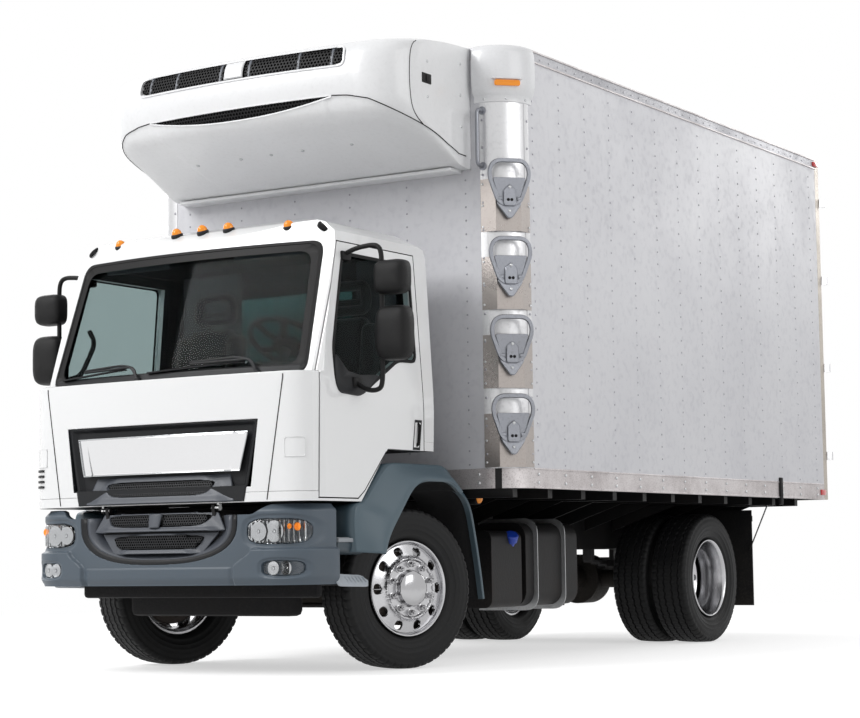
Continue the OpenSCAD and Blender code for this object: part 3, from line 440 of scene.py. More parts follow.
# ---- tyres -----------------------------------------------------------------
# Radial truck tyres: five ribs parted by four zigzag grooves, shoulder notches,
# and a sidewall with a rim protector and fine moulded rings. Black, dusty rubber.
TYRE_R, TYRE_HALF, BEAD_R = 0.434, 0.131, 0.262
GROOVES, GROOVE_HALF, GROOVE_DEEP = (-0.074, -0.027, 0.027, 0.074), 0.0042, 0.011
PITCHES, STEPS_A_PITCH, TREAD_HALF = 54, 8, 0.098
ZIGZAG, NOTCH_DEEP, SIPE_DEEP = 0.0045, 0.006, 0.003


def spin_frame(joint_name):
    """A wheel's middle and its axis towards the truck's left, from its joint."""
    joint = next(j for j in frame["joints"] if j["name"] == joint_name)
    return np.array(joint["pos_m"], float) - (0, NOSE, 0), np.array(joint["axis"], float)


def tyre(centre, axis):
    """Radius over (turn, across): a fixed section, less a groove where the distance to a zigzag line
    is under the groove's half width, less a notch at every pitch along the shoulders."""
    n = PITCHES * STEPS_A_PITCH
    wall = [(BEAD_R, 0.092), (0.276, 0.104), (0.286, 0.114), (0.292, 0.1145), (0.296, 0.1135),
            (0.318, 0.1235), (0.321, 0.1255), (0.324, 0.1245), (0.345, 0.1300), (0.348, 0.1310),
            (0.351, 0.1302), (0.372, 0.1296), (0.375, 0.1300), (0.390, 0.1268), (0.404, 0.1232),
            (0.408, 0.1250), (0.417, 0.1212), (0.4265, 0.1120), (0.4300, 0.1050)]
    tread = [TREAD_HALF]
    for groove in GROOVES[::-1]:
        tread += [groove + 0.0115, groove + 0.0085, groove + GROOVE_HALF + 0.0025, groove + 0.0018,
                  groove - 0.0018, groove - GROOVE_HALF - 0.0025, groove - 0.0085, groove - 0.0115]
    tread += [-TREAD_HALF]
    crown = [(TYRE_R - 0.0035 * (a / TREAD_HALF) ** 2, a) for a in tread]
    half = np.array(wall)
    section = np.vstack((half, crown, half[::-1] * (1, -1), [(BEAD_R, -0.09), (BEAD_R - 0.012, -0.04),
                        (BEAD_R - 0.012, 0.04), (BEAD_R, 0.092)]))
    section[-1] = section[0]
    step = np.arange(n)
    zigzag = ZIGZAG * (2 * np.abs((step % STEPS_A_PITCH) / 4 - 1) - 1)
    radius = np.repeat(section[:, :1], n, 1)
    across = np.repeat(section[:, 1:], n, 1)
    on_tread = (np.abs(across) < 0.0975) & (radius > 0.42)
    across = np.where(on_tread & (np.abs(across) < 0.09), across + zigzag, across)
    lines = np.array(GROOVES)[:, None, None] + zigzag
    near = np.abs(across - lines).min(0)
    radius -= np.where(on_tread & (near < GROOVE_HALF + 0.001), GROOVE_DEEP, 0.0)
    edge = (np.abs(across) > 0.088) & (np.abs(across) < 0.1255) & (radius > 0.400)
    radius -= np.where(edge & (step % STEPS_A_PITCH < 2), NOTCH_DEEP, 0.0)
    sipe = on_tread & (near > 0.009) & (step % 4 == 0)
    radius -= np.where(sipe, SIPE_DEEP, 0.0)
    turn = 2 * math.pi * step / n
    side = np.cross(axis, (0, 0, 1.0))
    side /= np.linalg.norm(side)
    spoke = np.cos(turn)[:, None] * side + np.sin(turn)[:, None] * np.cross(axis, side)
    return centre + radius[..., None] * spoke + across[..., None] * axis


tyre_rubber = finish("tyre rubber", (0.0085, 0.0088, 0.0095), 0.50, dust=(0.030, 0.029, 0.028), amount=0.30,
                     height=0.9, scale=5.0, stretch=320, depth=0.12, **DULL)
hubs = {name: spin_frame(name + "_spin") for name in ("front_left", "front_right", "rear_left", "rear_right")}
DUAL_GAP = 0.290
for name in ("front_left", "front_right"):
    build("tyre " + name.replace("_", " "), [tyre(*hubs[name])], tyre_rubber, "wheel_" + name,
          "tyre_" + name, crease=50)
for name, side in (("rear_left", 1), ("rear_right", -1)):
    low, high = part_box("tyres_" + name)
    outer = high.x - TYRE_HALF if side > 0 else low.x + TYRE_HALF
    centre, axis = hubs[name]
    pair = [tyre((x, centre[1], centre[2]), axis) for x in (outer, outer - side * DUAL_GAP)]
    build("tyres " + name.replace("_", " "), pair, tyre_rubber, "wheel_" + name, "tyres_" + name,
          crease=50)


# ---- wheels ----------------------------------------------------------------
# Forged aluminium wheels with ten round-cornered hand holes and ten nuts. The front
# ones bulge outwards round a hub cap; the rear pairs are bolted face to face, so a
# deep dish shows outside. The barrels are polished, the drums cast iron.
HOLES, HOLE_R, HOLE_HALF = 10, 0.2065, (0.0265, 0.0235)


def wheel_disc(centre, outward, along, face, radii):
    """A disc of ten sectors. In each, a ring runs round the hand hole, and slides out to the sector's
    border as t goes from 0 to 1; along(radius) gives how far out the disc stands. The hole's rim is
    rolled over by a first ring that dips inwards."""
    side = np.cross(outward, (0, 0, 1.0))
    side /= np.linalg.norm(side)
    other = np.cross(outward, side)
    inner, outer_r = radii
    s = np.linspace(0, 2 * math.pi, 72, endpoint=False)
    hole_r = HOLE_R + HOLE_HALF[1] * np.sin(s)
    hole_a = HOLE_HALF[0] * np.sign(np.cos(s)) * np.abs(np.cos(s)) ** 0.8 / HOLE_R
    box = np.maximum(np.abs(np.cos(s)), np.abs(np.sin(s)))
    wide = math.pi / HOLES
    border_a = wide * np.cos(s) / box
    up = np.sin(s) / box
    border_r = np.where(up > 0, HOLE_R + (outer_r - HOLE_R) * up, HOLE_R + (HOLE_R - inner) * up)
    t = np.concatenate(((0.0, 0.0, 0.08), np.linspace(0.16, 1, 22)))[:, None]
    radius = hole_r * (1 - t) + border_r * t
    angle = hole_a * (1 - t) + border_a * t
    dip = np.concatenate(((-0.022, -0.004), np.zeros(23)))[:, None]
    stand = along(radius) + dip
    shells = []
    for k in range(HOLES):
        turn = angle + 2 * math.pi * k / HOLES
        spoke = np.cos(turn)[..., None] * side + np.sin(turn)[..., None] * other
        shells.append(centre + radius[..., None] * spoke + (face + stand)[..., None] * outward)
    return shells


def open_sheet(name, grids, material, body, stands_for=(), crease=32.0, wall=0.0):
    """Joins open grids whose rings close on themselves, without end faces, and gives them a wall."""
    points, faces, start = [], [], 0
    for grid in grids:
        rows, ring = grid.shape[:2]
        index = start + np.arange(rows * ring).reshape(rows, ring)
        faces += np.stack((index[:-1], np.roll(index[:-1], -1, 1), np.roll(index[1:], -1, 1), index[1:]),
                          -1).reshape(-1, 4).tolist()
        points.append(grid.reshape(-1, 3))
        start += rows * ring
    mesh_data = bpy.data.meshes.new(name)
    mesh_data.from_pydata((np.concatenate(points) + (0, NOSE, 0)).tolist(), [], faces)
    work = bmesh.new()
    work.from_mesh(mesh_data)
    bmesh.ops.remove_doubles(work, verts=work.verts, dist=2e-5)
    bmesh.ops.recalc_face_normals(work, faces=work.faces)
    if wall:
        bmesh.ops.solidify(work, geom=work.faces[:], thickness=wall)
        bmesh.ops.recalc_face_normals(work, faces=work.faces)
    work.to_mesh(mesh_data)
    work.free()
    return settle(mesh_data, name, [material], body, stands_for, crease)


polished_aluminium = finish("polished aluminium", (0.50, 0.50, 0.515), 0.20, metallic=1.0,
                            dust=(0.25, 0.23, 0.21), amount=0.10, scale=6.0, stretch=(60, 900, 900),
                            depth=0.02)
hub_steel = finish("bright hub steel", (0.42, 0.42, 0.43), 0.14, metallic=1.0, dust=(0.4, 0.37, 0.33),
                   amount=0.06, depth=0.0)
drum_iron = finish("drum iron", (0.12, 0.10, 0.09), 0.7, metallic=0.5, amount=0.5, depth=0.3)

BARREL = ((0.2600, -0.074), (0.2600, -0.070), (0.2495, -0.069), (0.2480, -0.068), (0.2340, -0.066),
          (0.2300, -0.030), (0.2300, 0.030), (0.2420, 0.060), (0.2480, 0.080), (0.2495, 0.094),
          (0.2600, 0.098), (0.2600, 0.106), (0.2570, 0.111), (0.2520, 0.111), (0.2450, 0.104),
          (0.2400, 0.090), (0.2360, 0.070), (0.2240, 0.040), (0.2240, -0.030), (0.2290, -0.060),
          (0.2380, -0.068), (0.2460, -0.074), (0.2600, -0.074))


def nut_ring(centre, outward, face, circle_r, count=10, size=0.0165, height=0.030):
    """Wheel nuts: six-sided cones on a round washer, evenly spaced on the bolt circle, and their studs."""
    side = np.cross(outward, (0, 0, 1.0))
    side /= np.linalg.norm(side)
    other = np.cross(outward, side)
    shells = []
    for k in range(count):
        a = 2 * math.pi * (k + 0.5) / count
        spot = centre + circle_r * (math.cos(a) * side + math.sin(a) * other)
        shells += [turned(((size * 1.25, face - 0.002), (size * 1.25, face + 0.005), (size, face + 0.006)),
                          spot, outward, 16), turned(((size, face + 0.004), (size, face + height * 0.8),
                (size * 0.72, face + height)), spot, outward, 6),
                   turned(((0.0085, face + height * 0.9), (0.0085, face + height * 1.45),
                           (0.006, face + height * 1.55)), spot, outward, 12)]
    return shells


def bulge(radius):
    """Front disc: flat from the barrel in to the hand holes' foot, then a cone out to the hub's face."""
    return np.interp(radius, (0.100, 0.150, 0.158, 0.166, 0.172, 0.180, 0.236),
                     (0.034, 0.034, 0.046, 0.046, 0.030, 0.024, 0.006))


for name, side in (("front_left", 1), ("front_right", -1)):
    centre, axis = hubs[name]
    outward = axis * side
    title = name.replace("_", " ")
    face = 0.085
    hub_face = face + 0.034
    build("rim barrel " + title, [turned(BARREL, centre, outward, 96)], polished_aluminium, "wheel_" + name,
          "wheel_" + name, crease=30)
    open_sheet("wheel disc " + title, wheel_disc(centre, outward, bulge, face, (0.1, 0.2385)),
               polished_aluminium, "wheel_" + name, wall=0.008)
    build("hub and nuts " + title, nut_ring(centre, outward, hub_face + 0.001, 0.130)
          + [turned(((0.102, 0.02), (0.102, hub_face + 0.004), (0.098, hub_face + 0.008),
                     (0.096, hub_face + 0.024), (0.092, hub_face + 0.034), (0.080, hub_face + 0.043),
                     (0.060, hub_face + 0.049), (0.030, hub_face + 0.052), (0.004, hub_face + 0.053)), centre,
                    outward, 64)], hub_steel, "wheel_" + name, crease=28)
    build("brake drum " + title, [turned(((0.060, 0.0), (0.196, 0.0), (0.200, 0.006), (0.200, 0.052),
                                          (0.180, 0.062), (0.110, 0.070), (0.100, 0.070)), centre, outward,
                                         64)], drum_iron, "wheel_" + name)
    valve = carried(eased(((0, 0.246, 0.075), (0, 0.232, 0.095), (0, 0.200, 0.118)), 0.02), circle(0.004, 8),
                    (1, 0, 0))
    cross = np.cross(outward, (0, 0, 1.0))
    build("valve " + title, [centre + valve[..., 1:2] * cross + valve[..., 0:1] * (0, 0, 1)
                             + valve[..., 2:] * outward], hub_steel, "wheel_" + name)


def dish(radius):
    """Rear disc: from the barrel deep inside, flat across the hand holes to the hub."""
    return np.interp(radius, (0.100, 0.160, 0.200, 0.236), (0.0, 0.0, 0.010, 0.045))


for name, side in (("rear_left", 1), ("rear_right", -1)):
    centre, axis = hubs[name]
    outward = axis * side
    title = name.replace("_", " ")
    low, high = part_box("tyres_" + name)
    outer = high.x - TYRE_HALF if side > 0 else low.x + TYRE_HALF
    far = np.array((outer, centre[1], centre[2]))
    inner_wheel = far - outward * DUAL_GAP
    joint_face = -DUAL_GAP / 2 + 0.004
    build("rim barrels " + title, [turned(BARREL, far, outward, 96),
                                   turned(BARREL, inner_wheel, outward, 96)], polished_aluminium,
          "wheel_" + name, "wheels_" + name, crease=30)
    open_sheet("wheel disc " + title, wheel_disc(far, outward, dish, joint_face, (0.1, 0.232)),
               polished_aluminium, "wheel_" + name, wall=0.010)
    build("hub and nuts " + title, nut_ring(far, outward, joint_face + 0.002, 0.142)
          + [turned(((0.108, joint_face - 0.02), (0.108, joint_face + 0.016), (0.098, joint_face + 0.022),
                     (0.092, joint_face + 0.070), (0.084, joint_face + 0.082), (0.060, joint_face + 0.088),
                     (0.052, joint_face + 0.100), (0.004, joint_face + 0.104)), far, outward, 64)]
          + buttons([far + outward * (joint_face + 0.080) + 0.072
                     * (math.cos(a) * np.array((0, 1.0, 0)) + math.sin(a) * np.array((0, 0, 1.0)))
                     for a in np.linspace(0, 2 * math.pi, 8, endpoint=False)], outward, 0.008, 0.012, 6),
          hub_steel, "wheel_" + name, crease=28)
    build("brake drum " + title, [turned(((0.070, 0.02), (0.205, 0.02), (0.205, 0.150), (0.180, 0.170),
                                          (0.100, 0.180)), inner_wheel - outward * 0.10, outward, 64)],
          drum_iron, "wheel_" + name)


# ---- tanks, exhaust, mudflaps and rear bar ------------------------------------
# Rotomoulded tanks strapped to the rails, a steel silencer, rubber flaps on
# angle brackets, and a short guard bar behind the frame.
def split_dressed(node_name, first, second, test, body, edge=0.003, crease=24.0):
    """A dressed CAD node whose faces take the second finish where test(middles, normals) is true."""
    piece = dressed(node_name, first, body, edge, crease)
    mesh_data = piece.data
    mesh_data.materials.append(second)
    middles, normals = np.zeros(len(mesh_data.polygons) * 3), np.zeros(len(mesh_data.polygons) * 3)
    mesh_data.polygons.foreach_get("center", middles)
    mesh_data.polygons.foreach_get("normal", normals)
    middles = middles.reshape(-1, 3) - (0, NOSE, 0)
    mesh_data.polygons.foreach_set("material_index", test(middles, normals.reshape(-1, 3)).astype(int))
    return piece


tank_black = finish("tank black", (0.008, 0.008, 0.009), 0.45, dust=(0.06, 0.048, 0.040), amount=0.22,
                    depth=0.12, stretch=90, **DULL)
silencer = finish("silencer steel", (0.16, 0.15, 0.145), 0.5, metallic=0.9, dust=(0.09, 0.055, 0.04),
                  amount=0.4, depth=0.1)
flap_rubber = finish("flap rubber", (0.008, 0.008, 0.009), 0.6, amount=0.15, depth=0.2, stretch=(60, 60, 400),
                     **DULL)
blue_cap = finish("blue cap", (0.01, 0.05, 0.42), 0.35, amount=0.1)
zinc = finish("zinc plate", (0.52, 0.53, 0.54), 0.38, metallic=0.85, amount=0.2, depth=0.15, stretch=300)
dressed("fuel_tank", tank_black, "chassis", 0.008)
dressed("battery_box", tank_black, "chassis", 0.008)
dressed("exhaust", silencer, "chassis", 0.004)
dressed("rear_bumper", chassis_black, "chassis", 0.006)
dressed("rear_mudflaps", flap_rubber, "chassis", 0.002)
tank_low, tank_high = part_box("fuel_tank")
build("tank filler cap", [turned(((0.030, -0.030), (0.030, 0.0), (0.041, 0.004), (0.042, 0.012),
                                  (0.042, 0.040), (0.036, 0.048), (0.004, 0.050)), (0.835, 2.265, 0.690),
                                 (0.45, -0.35, 0.8), 20)], blue_cap, "chassis")
straps = []
for back in (2.52, 2.86):
    straps.append(carried(eased([(x, back, z) for x, z in ((0.46, tank_high.z + 0.004),
            (tank_high.x + 0.004, tank_high.z + 0.004), (tank_high.x + 0.004, tank_low.z - 0.004),
            (0.46, tank_low.z - 0.004))], 0.07, 8), flat_bar(0.022, 0.003), (0, 1, 0)))
build("tank straps", straps, zinc, "chassis")
gussets = []
for back in np.arange(1.9, 5.9, 0.4):
    for side in (1, -1):
        gussets.append(slab([(side * x, back + 0.1, z) for x, z in ((0.40, 0.93), (0.90, 0.93),
                (0.40, 0.76))], (0, -0.004, 0), (0, 0.004, 0)))
build("crossmember gussets", gussets, chassis_black, "chassis")
hoses = []
for index, (x, droop) in enumerate(((0.30, 0.03), (0.27, 0.05), (-0.28, 0.04))):
    back = np.linspace(1.95, 4.3, 60)
    hoses.append(carried(np.column_stack((np.full(60, x), back,
                                          0.80 - droop * np.abs(np.sin(back * 4.0 + index)))),
                         circle(0.012, 8)))
build("frame hoses", hoses, flap_rubber, "chassis")
braces = [carried([(side * 1.02, 5.30, 0.62), (side * 1.16, 5.34, 0.965)], flat_bar(0.015, 0.003))
          for side in (1, -1)]
build("flap braces", braces, chassis_black, "chassis")


# ---- bumper ------------------------------------------------------------------
# One blue-grey plastic moulding: a bowed face with round corners, lamp pockets,
# stepped pods round the fog lamps and a U-shaped opening for the lower grille.
BUMPER_HALF, BUMPER_BOW, CORNER_R, BUMPER_BACK = 0.950, 0.050, 0.250, 0.312
BUMPER_FOOT = 0.471


def smooth(a, b, value):
    """0 below a, 1 above b, and a smooth ramp between."""
    t = np.clip((value - a) / (b - a), 0, 1)
    return t * t * (3 - 2 * t)


def evenly(line, count):
    """The same line with its points spaced evenly along its length."""
    gone = np.concatenate(([0], np.cumsum(np.linalg.norm(np.diff(line, axis=0), axis=1))))
    even = np.linspace(0, gone[-1], count)
    return np.column_stack([np.interp(even, gone, line[:, k]) for k in range(line.shape[1])])


def plan_line(half, radius, bow, back, lead=0.0, steps=400):
    """Points (x, back) evenly along the plan: up one side, round its corner, over the bowed front
    x -> bow * (x / flat)^2, and down the other side. Also gives the outward direction at each."""
    flat = half - radius
    a = np.linspace(0, math.pi / 2, 40)
    front = np.linspace(flat, -flat, 80)[1:-1]
    left = np.column_stack((flat + radius * np.cos(a), lead + bow + radius - radius * np.sin(a)))
    line = np.vstack(([(half, back)], left, np.column_stack((front, lead + bow * (front / flat) ** 2)),
                      left[::-1] * (-1, 1), [(-half, back)]))
    even_line = evenly(line, steps)
    run = np.gradient(even_line, axis=0)
    run /= np.linalg.norm(run, axis=1)[:, None]
    return even_line, np.column_stack((-run[:, 1], run[:, 0]))


def panel(name, grid, materials, body, wall, facing, finishes=None, stands_for=(), crease=32.0):
    """An open sheet from one grid, turned to look along facing, with a wall behind it."""
    rows, columns = grid.shape[:2]
    index = np.arange(rows * columns).reshape(rows, columns)
    quads = np.stack((index[:-1, :-1], index[:-1, 1:], index[1:, 1:], index[1:, :-1]), -1)
    r, c = rows // 2, columns // 2
    look = np.cross(grid[r, c + 1] - grid[r, c], grid[r + 1, c] - grid[r, c])
    if look @ np.array(facing, float) < 0:
        quads = quads[..., ::-1]
    mesh_data = bpy.data.meshes.new(name)
    mesh_data.from_pydata((grid.reshape(-1, 3) + (0, NOSE, 0)).tolist(), [], quads.reshape(-1, 4).tolist())
    materials = materials if isinstance(materials, (list, tuple)) else [materials]
    if finishes is not None:
        mesh_data.polygons.foreach_set("material_index", finishes[:-1, :-1].astype(int).ravel())
    piece = settle(mesh_data, name, materials, body, stands_for, crease)
    if wall:
        thick = piece.modifiers.new("wall", "SOLIDIFY")
        thick.thickness, thick.offset = wall, -1
    return piece


def round_mask(x, z, centre, half, power=3.0, edge=0.12):
    """1 inside a rounded box |x/a|^p + |z/b|^p < 1 and 0 outside, with an edge that ramps."""
    field = np.abs((x - centre[0]) / half[0]) ** power + np.abs((z - centre[1]) / half[1]) ** power
    return 1 - smooth(1 - edge, 1 + edge, field)


LAMPS = ((0.745, 0.744, 0.158, 0.064), (0.778, 0.557, 0.100, 0.038))


def u_mask(x, z, half, foot, top=0.80, edge=0.05):
    """1 inside a U: straight sides down to top, then a rounded bowl down to foot."""
    below = np.clip((top - z) / (top - foot), 0, None)
    return 1 - smooth(1 - edge, 1 + edge, (np.abs(x) / half) ** 2.6 + below ** 2.6)


line, outwards = plan_line(BUMPER_HALF - 0.006, CORNER_R, BUMPER_BOW, BUMPER_BACK)
x = line[:, 0][None, :]
side_x = np.abs(x)
rise = np.linspace(0, 1, 120)[:, None]
top_edge = 0.832 + 0.050 * smooth(0.60, 0.72, side_x)
z = BUMPER_FOOT + rise * (top_edge - BUMPER_FOOT)
stand = 0.004 * smooth(0, 1, rise * 12) - 0.014 * smooth(0.515, BUMPER_FOOT, z)
pod_edge = 0.50 + 0.10 * smooth(0.560, 0.650, z)
stand = stand + 0.020 * smooth(pod_edge, pod_edge + 0.018, side_x) * smooth(0.662, 0.648, z)
stand = stand + 0.006 * smooth(0.566, 0.556, z) * (1 - smooth(0.47, 0.50, side_x))
stand = stand - 0.030 * smooth(0.845, 0.885, z)
for lamp_x, lamp_z, half_x, half_z in LAMPS:
    stand = stand - 0.008 * round_mask(side_x, z, (lamp_x, lamp_z), (half_x * 1.16, half_z * 1.35), 3.0, 0.25)
    stand = stand - 0.038 * round_mask(side_x, z, (lamp_x, lamp_z), (half_x, half_z), 3.4, 0.08)
mouth = u_mask(x, z, 0.520, 0.585)
stand = stand - 0.055 * mouth
grid = np.stack(np.broadcast_arrays(line[:, 0] + outwards[:, 0] * stand, line[:, 1] + outwards[:, 1] * stand,
                                    z), -1)
LIP_DEEP = 0.03
inward = np.column_stack((-outwards * LIP_DEEP, np.zeros(len(line))))[None]
lip, foot_lip = grid[-1:] + inward * (1 - mouth[-1:, :, None]), grid[:1] + inward
bumper_plastic = finish("blue grey moulding", (0.062, 0.084, 0.108), 0.46, amount=0.10, depth=0.10,
                        stretch=420)
grille_black = finish("grille black", (0.016, 0.017, 0.019), 0.38, amount=0.10, depth=0.12, stretch=300,
                      **DULL)
in_mouth = np.vstack((mouth[:1], mouth, mouth[-1:])) > 0.5
panel("bumper moulding", np.vstack((foot_lip, grid, lip)), [bumper_plastic, grille_black], "chassis", 0.004,
      (0, -1, 0), in_mouth, "front_bumper", crease=40)


def bumper_face(x, stand=0.0):
    """The bumper's plain face at x: how far back it lies, on the bow and round the corner."""
    flat = BUMPER_HALF - CORNER_R
    reach = np.clip(np.abs(x) - flat, 0, CORNER_R - 0.001)
    return (np.where(np.abs(x) < flat, BUMPER_BOW * (x / flat) ** 2, BUMPER_BOW)
            + CORNER_R - np.sqrt(CORNER_R ** 2 - reach ** 2) - stand)


# ---- head and fog lamps --------------------------------------------------------
# Clear moulded lenses over bright faceted reflectors, with an amber indicator
# at the outer end of each headlamp.
chrome = finish("lamp chrome", (0.46, 0.47, 0.48), 0.12, metallic=1.0, amount=0.0, depth=0.0)
amber = finish("amber lens", (0.95, 0.26, 0.01), 0.12, amount=0.05, depth=0.0,
               Emission_Color=(0.9, 0.2, 0.0, 1), Emission_Strength=0.12)
clear_lens = finish("clear lens", (0.98, 0.985, 0.99), 0.02, amount=0.0, depth=0.0, Transmission_Weight=1.0,
                    IOR=1.35)


def bowl(centre, radius, deep, facets=18):
    """A reflector: a paraboloid of flat facets, depth * (r / radius)^2, with ripples round the turn."""
    r = np.array((1.0, 0.96, 0.8, 0.6, 0.4, 0.22, 0.06))
    turn = np.linspace(0, 2 * math.pi, facets * 2, endpoint=False)
    ripple = 0.003 * (-1) ** np.arange(facets * 2)
    reach_r = r[:, None] * radius
    set_back = deep * (1 - r[:, None] ** 2) + ripple * r[:, None] * (r[:, None] < 0.95)
    return np.stack((centre[0] + reach_r * np.cos(turn), centre[1] + set_back,
                     centre[2] + reach_r * np.sin(turn)), -1)


def lens(centre_x, centre_z, half, dome_high, sign):
    """A lens over its pocket: a rounded outline shrunk ring by ring, lying on the bumper's face,
    standing out by dome_high * (1 - t^2)."""
    turn = np.linspace(0, 2 * math.pi, 64, endpoint=False)
    c, s = np.cos(turn), np.sin(turn)
    ox, oz = np.sign(c) * np.abs(c) ** 0.62 * half[0], np.sign(s) * np.abs(s) ** 0.62 * half[1]
    t = np.array((1.0, 1.0, 0.97, 0.85, 0.6, 0.3, 0.05))[:, None]
    px, pz = centre_x + ox * t, centre_z + oz * t
    back = bumper_face(px) + np.array((0.018, 0.002, 0, 0, 0, 0, 0))[:, None] - dome_high * (1 - t ** 2)
    return np.stack((sign * px, back, pz), -1)


reflectors, lenses, ambers = [], [], []
for sign in (1, -1):
    for x_, z_, radius in ((0.650, 0.744, 0.048), (0.742, 0.744, 0.054), (0.735, 0.557, 0.034),
                           (0.800, 0.557, 0.034)):
        reflectors.append(bowl((sign * x_, float(bumper_face(x_)) + 0.006, z_), radius, 0.028))
        reflectors.append(turned(((0.012, 0.024), (0.012, 0.002), (0.008, -0.003), (0.001, -0.004)),
                                 (sign * x_, float(bumper_face(x_)) + 0.006, z_), (0, 1, 0), 16))
    for x_ in np.linspace(0.60, 0.87, 13):
        reflectors.append(rounded_block((sign * x_ - 0.006, float(bumper_face(x_)) + 0.022, 0.690),
                                        (sign * x_ + 0.006, float(bumper_face(x_)) + 0.034, 0.798), 0.003))
    for x_, z_, half_x, half_z in LAMPS:
        lenses.append(lens(x_, z_, (half_x * 0.985, half_z * 0.97), 0.006, sign))
    ambers.append(bowl((sign * 0.852, float(bumper_face(0.852)) + 0.004, 0.766), 0.021, 0.010, 12))
    ambers.append(bowl((sign * 0.818, float(bumper_face(0.818)) + 0.004, 0.768), 0.014, 0.008, 12))
build("lamp reflectors", reflectors, chrome, "chassis", "headlights", crease=12)
build("lamp indicators", ambers, amber, "chassis", crease=12)
build("lamp lenses", lenses, clear_lens, "chassis", crease=40)


# ---- grille -----------------------------------------------------------------
# A black surround in the cab's front panel round a bare polished plate, two
# dark slats with black honeycomb inserts, and a third insert in the bumper's U.
def honeycomb(inside, place, low, high, cell, wall, deep):
    """Six-sided tubes on a staggered lattice over low..high (u, v), kept where inside(u, v) is true.
    place(u, v, depth) puts a point on the real surface."""
    shells = []
    turn = np.radians(np.arange(0, 360, 60) + 30)
    for row, v in enumerate(np.arange(low[1], high[1], cell * math.sqrt(3) / 2)):
        for u in np.arange(low[0] + (row % 2) * cell / 2, high[0], cell):
            if inside(u, v):
                ring = [(radius, depth) for radius, depth in ((cell * 0.58, 0), (cell * 0.58 - wall, 0),
                        (cell * 0.58 - wall, deep), (cell * 0.58, deep), (cell * 0.58, 0))]
                r, d = np.array(ring).T
                uu, vv = u + r[:, None] * np.cos(turn), v + r[:, None] * np.sin(turn)
                shells.append(place(uu, vv, np.broadcast_to(d[:, None], uu.shape)))
    return shells


def cab_front_face(x, z):
    """The cab's front: a bowed panel up to the windscreen's foot, then the screen, which leans back
    by RAKE and is bowed by SCREEN_BOW."""
    ax = np.abs(x)
    low_flat, low_r = 0.790, 0.160
    low = (0.030 + 0.030 * np.minimum(ax / low_flat, 1) ** 2
           + low_r - np.sqrt(low_r ** 2 - np.clip(ax - low_flat, 0, low_r - 0.001) ** 2))
    flat, radius = 0.870, 0.080
    bow = (SCREEN_BOW * np.minimum(ax / flat, 1) ** 2
           + radius - np.sqrt(radius ** 2 - np.clip(ax - flat, 0, radius - 0.001) ** 2))
    high = SCREEN_FOOT + (z - BELT_Z) * math.tan(RAKE) + bow / math.cos(RAKE)
    return np.where(z < BELT_Z, low, high)


RAKE, SCREEN_BOW, SCREEN_FOOT, BELT_Z = math.radians(18.7), 0.094, 0.080, 1.560
slat_grey = finish("slat grey", (0.062, 0.070, 0.086), 0.42, amount=0.10, depth=0.10, stretch=300)
mirror_plate = finish("polished plate", (0.83, 0.83, 0.84), 0.10, metallic=1.0, amount=0.05,
                      stretch=(4, 400, 400), depth=0.01)


def trapezoid(low_z, high_z, low_half, high_half, columns=60, rows=20):
    """A grid between a foot and a head of different widths."""
    t = np.linspace(0, 1, rows)[:, None]
    s = np.linspace(-1, 1, columns)[None, :]
    return s * (low_half + (high_half - low_half) * t), np.broadcast_to(low_z + (high_z - low_z) * t,
            (rows, columns))


x, z = trapezoid(0.900, 1.318, 0.560, 0.643, 90, 80)
rim = np.maximum(smooth(0.93, 0.99, np.abs(x) / (0.560 + (z - 0.900) * 0.1986)), smooth(1.292, 1.314, z))
sunk = np.where(z < 0.982, -0.003, 0.034 - 0.026 * rim)
panel("grille surround", np.stack((x, cab_front_face(x, z) + sunk, z), -1), grille_black, "cab", 0.004,
      (0, -1, 0), stands_for="grille")

t, s = np.linspace(0, 1, 24)[:, None], np.linspace(-1, 1, 60)[None, :]
half = 0.528 + 0.047 * t
z = np.broadcast_to(1.060 + 0.198 * t, (24, 60))
x = s * half
back = cab_front_face(x, z) + 0.002 + 0.018 * smooth(0.86, 0.87,
        np.abs(s)) * (1 - 0.4 * t) - 0.012 * smooth(0, 1, 1 - t)
plate = np.stack(np.broadcast_arrays(x, back, z), -1)
panel("grille plate", plate, mirror_plate, "cab", 0.006, (0, -1, 0), crease=15)
outline = np.vstack((plate[0], plate[1:, -1], plate[-1, -2::-1], plate[-2::-1, 0]))
build("grille plate rim", [carried(outline, circle(0.004, 8), (0, -1, 0))], chrome, "cab")


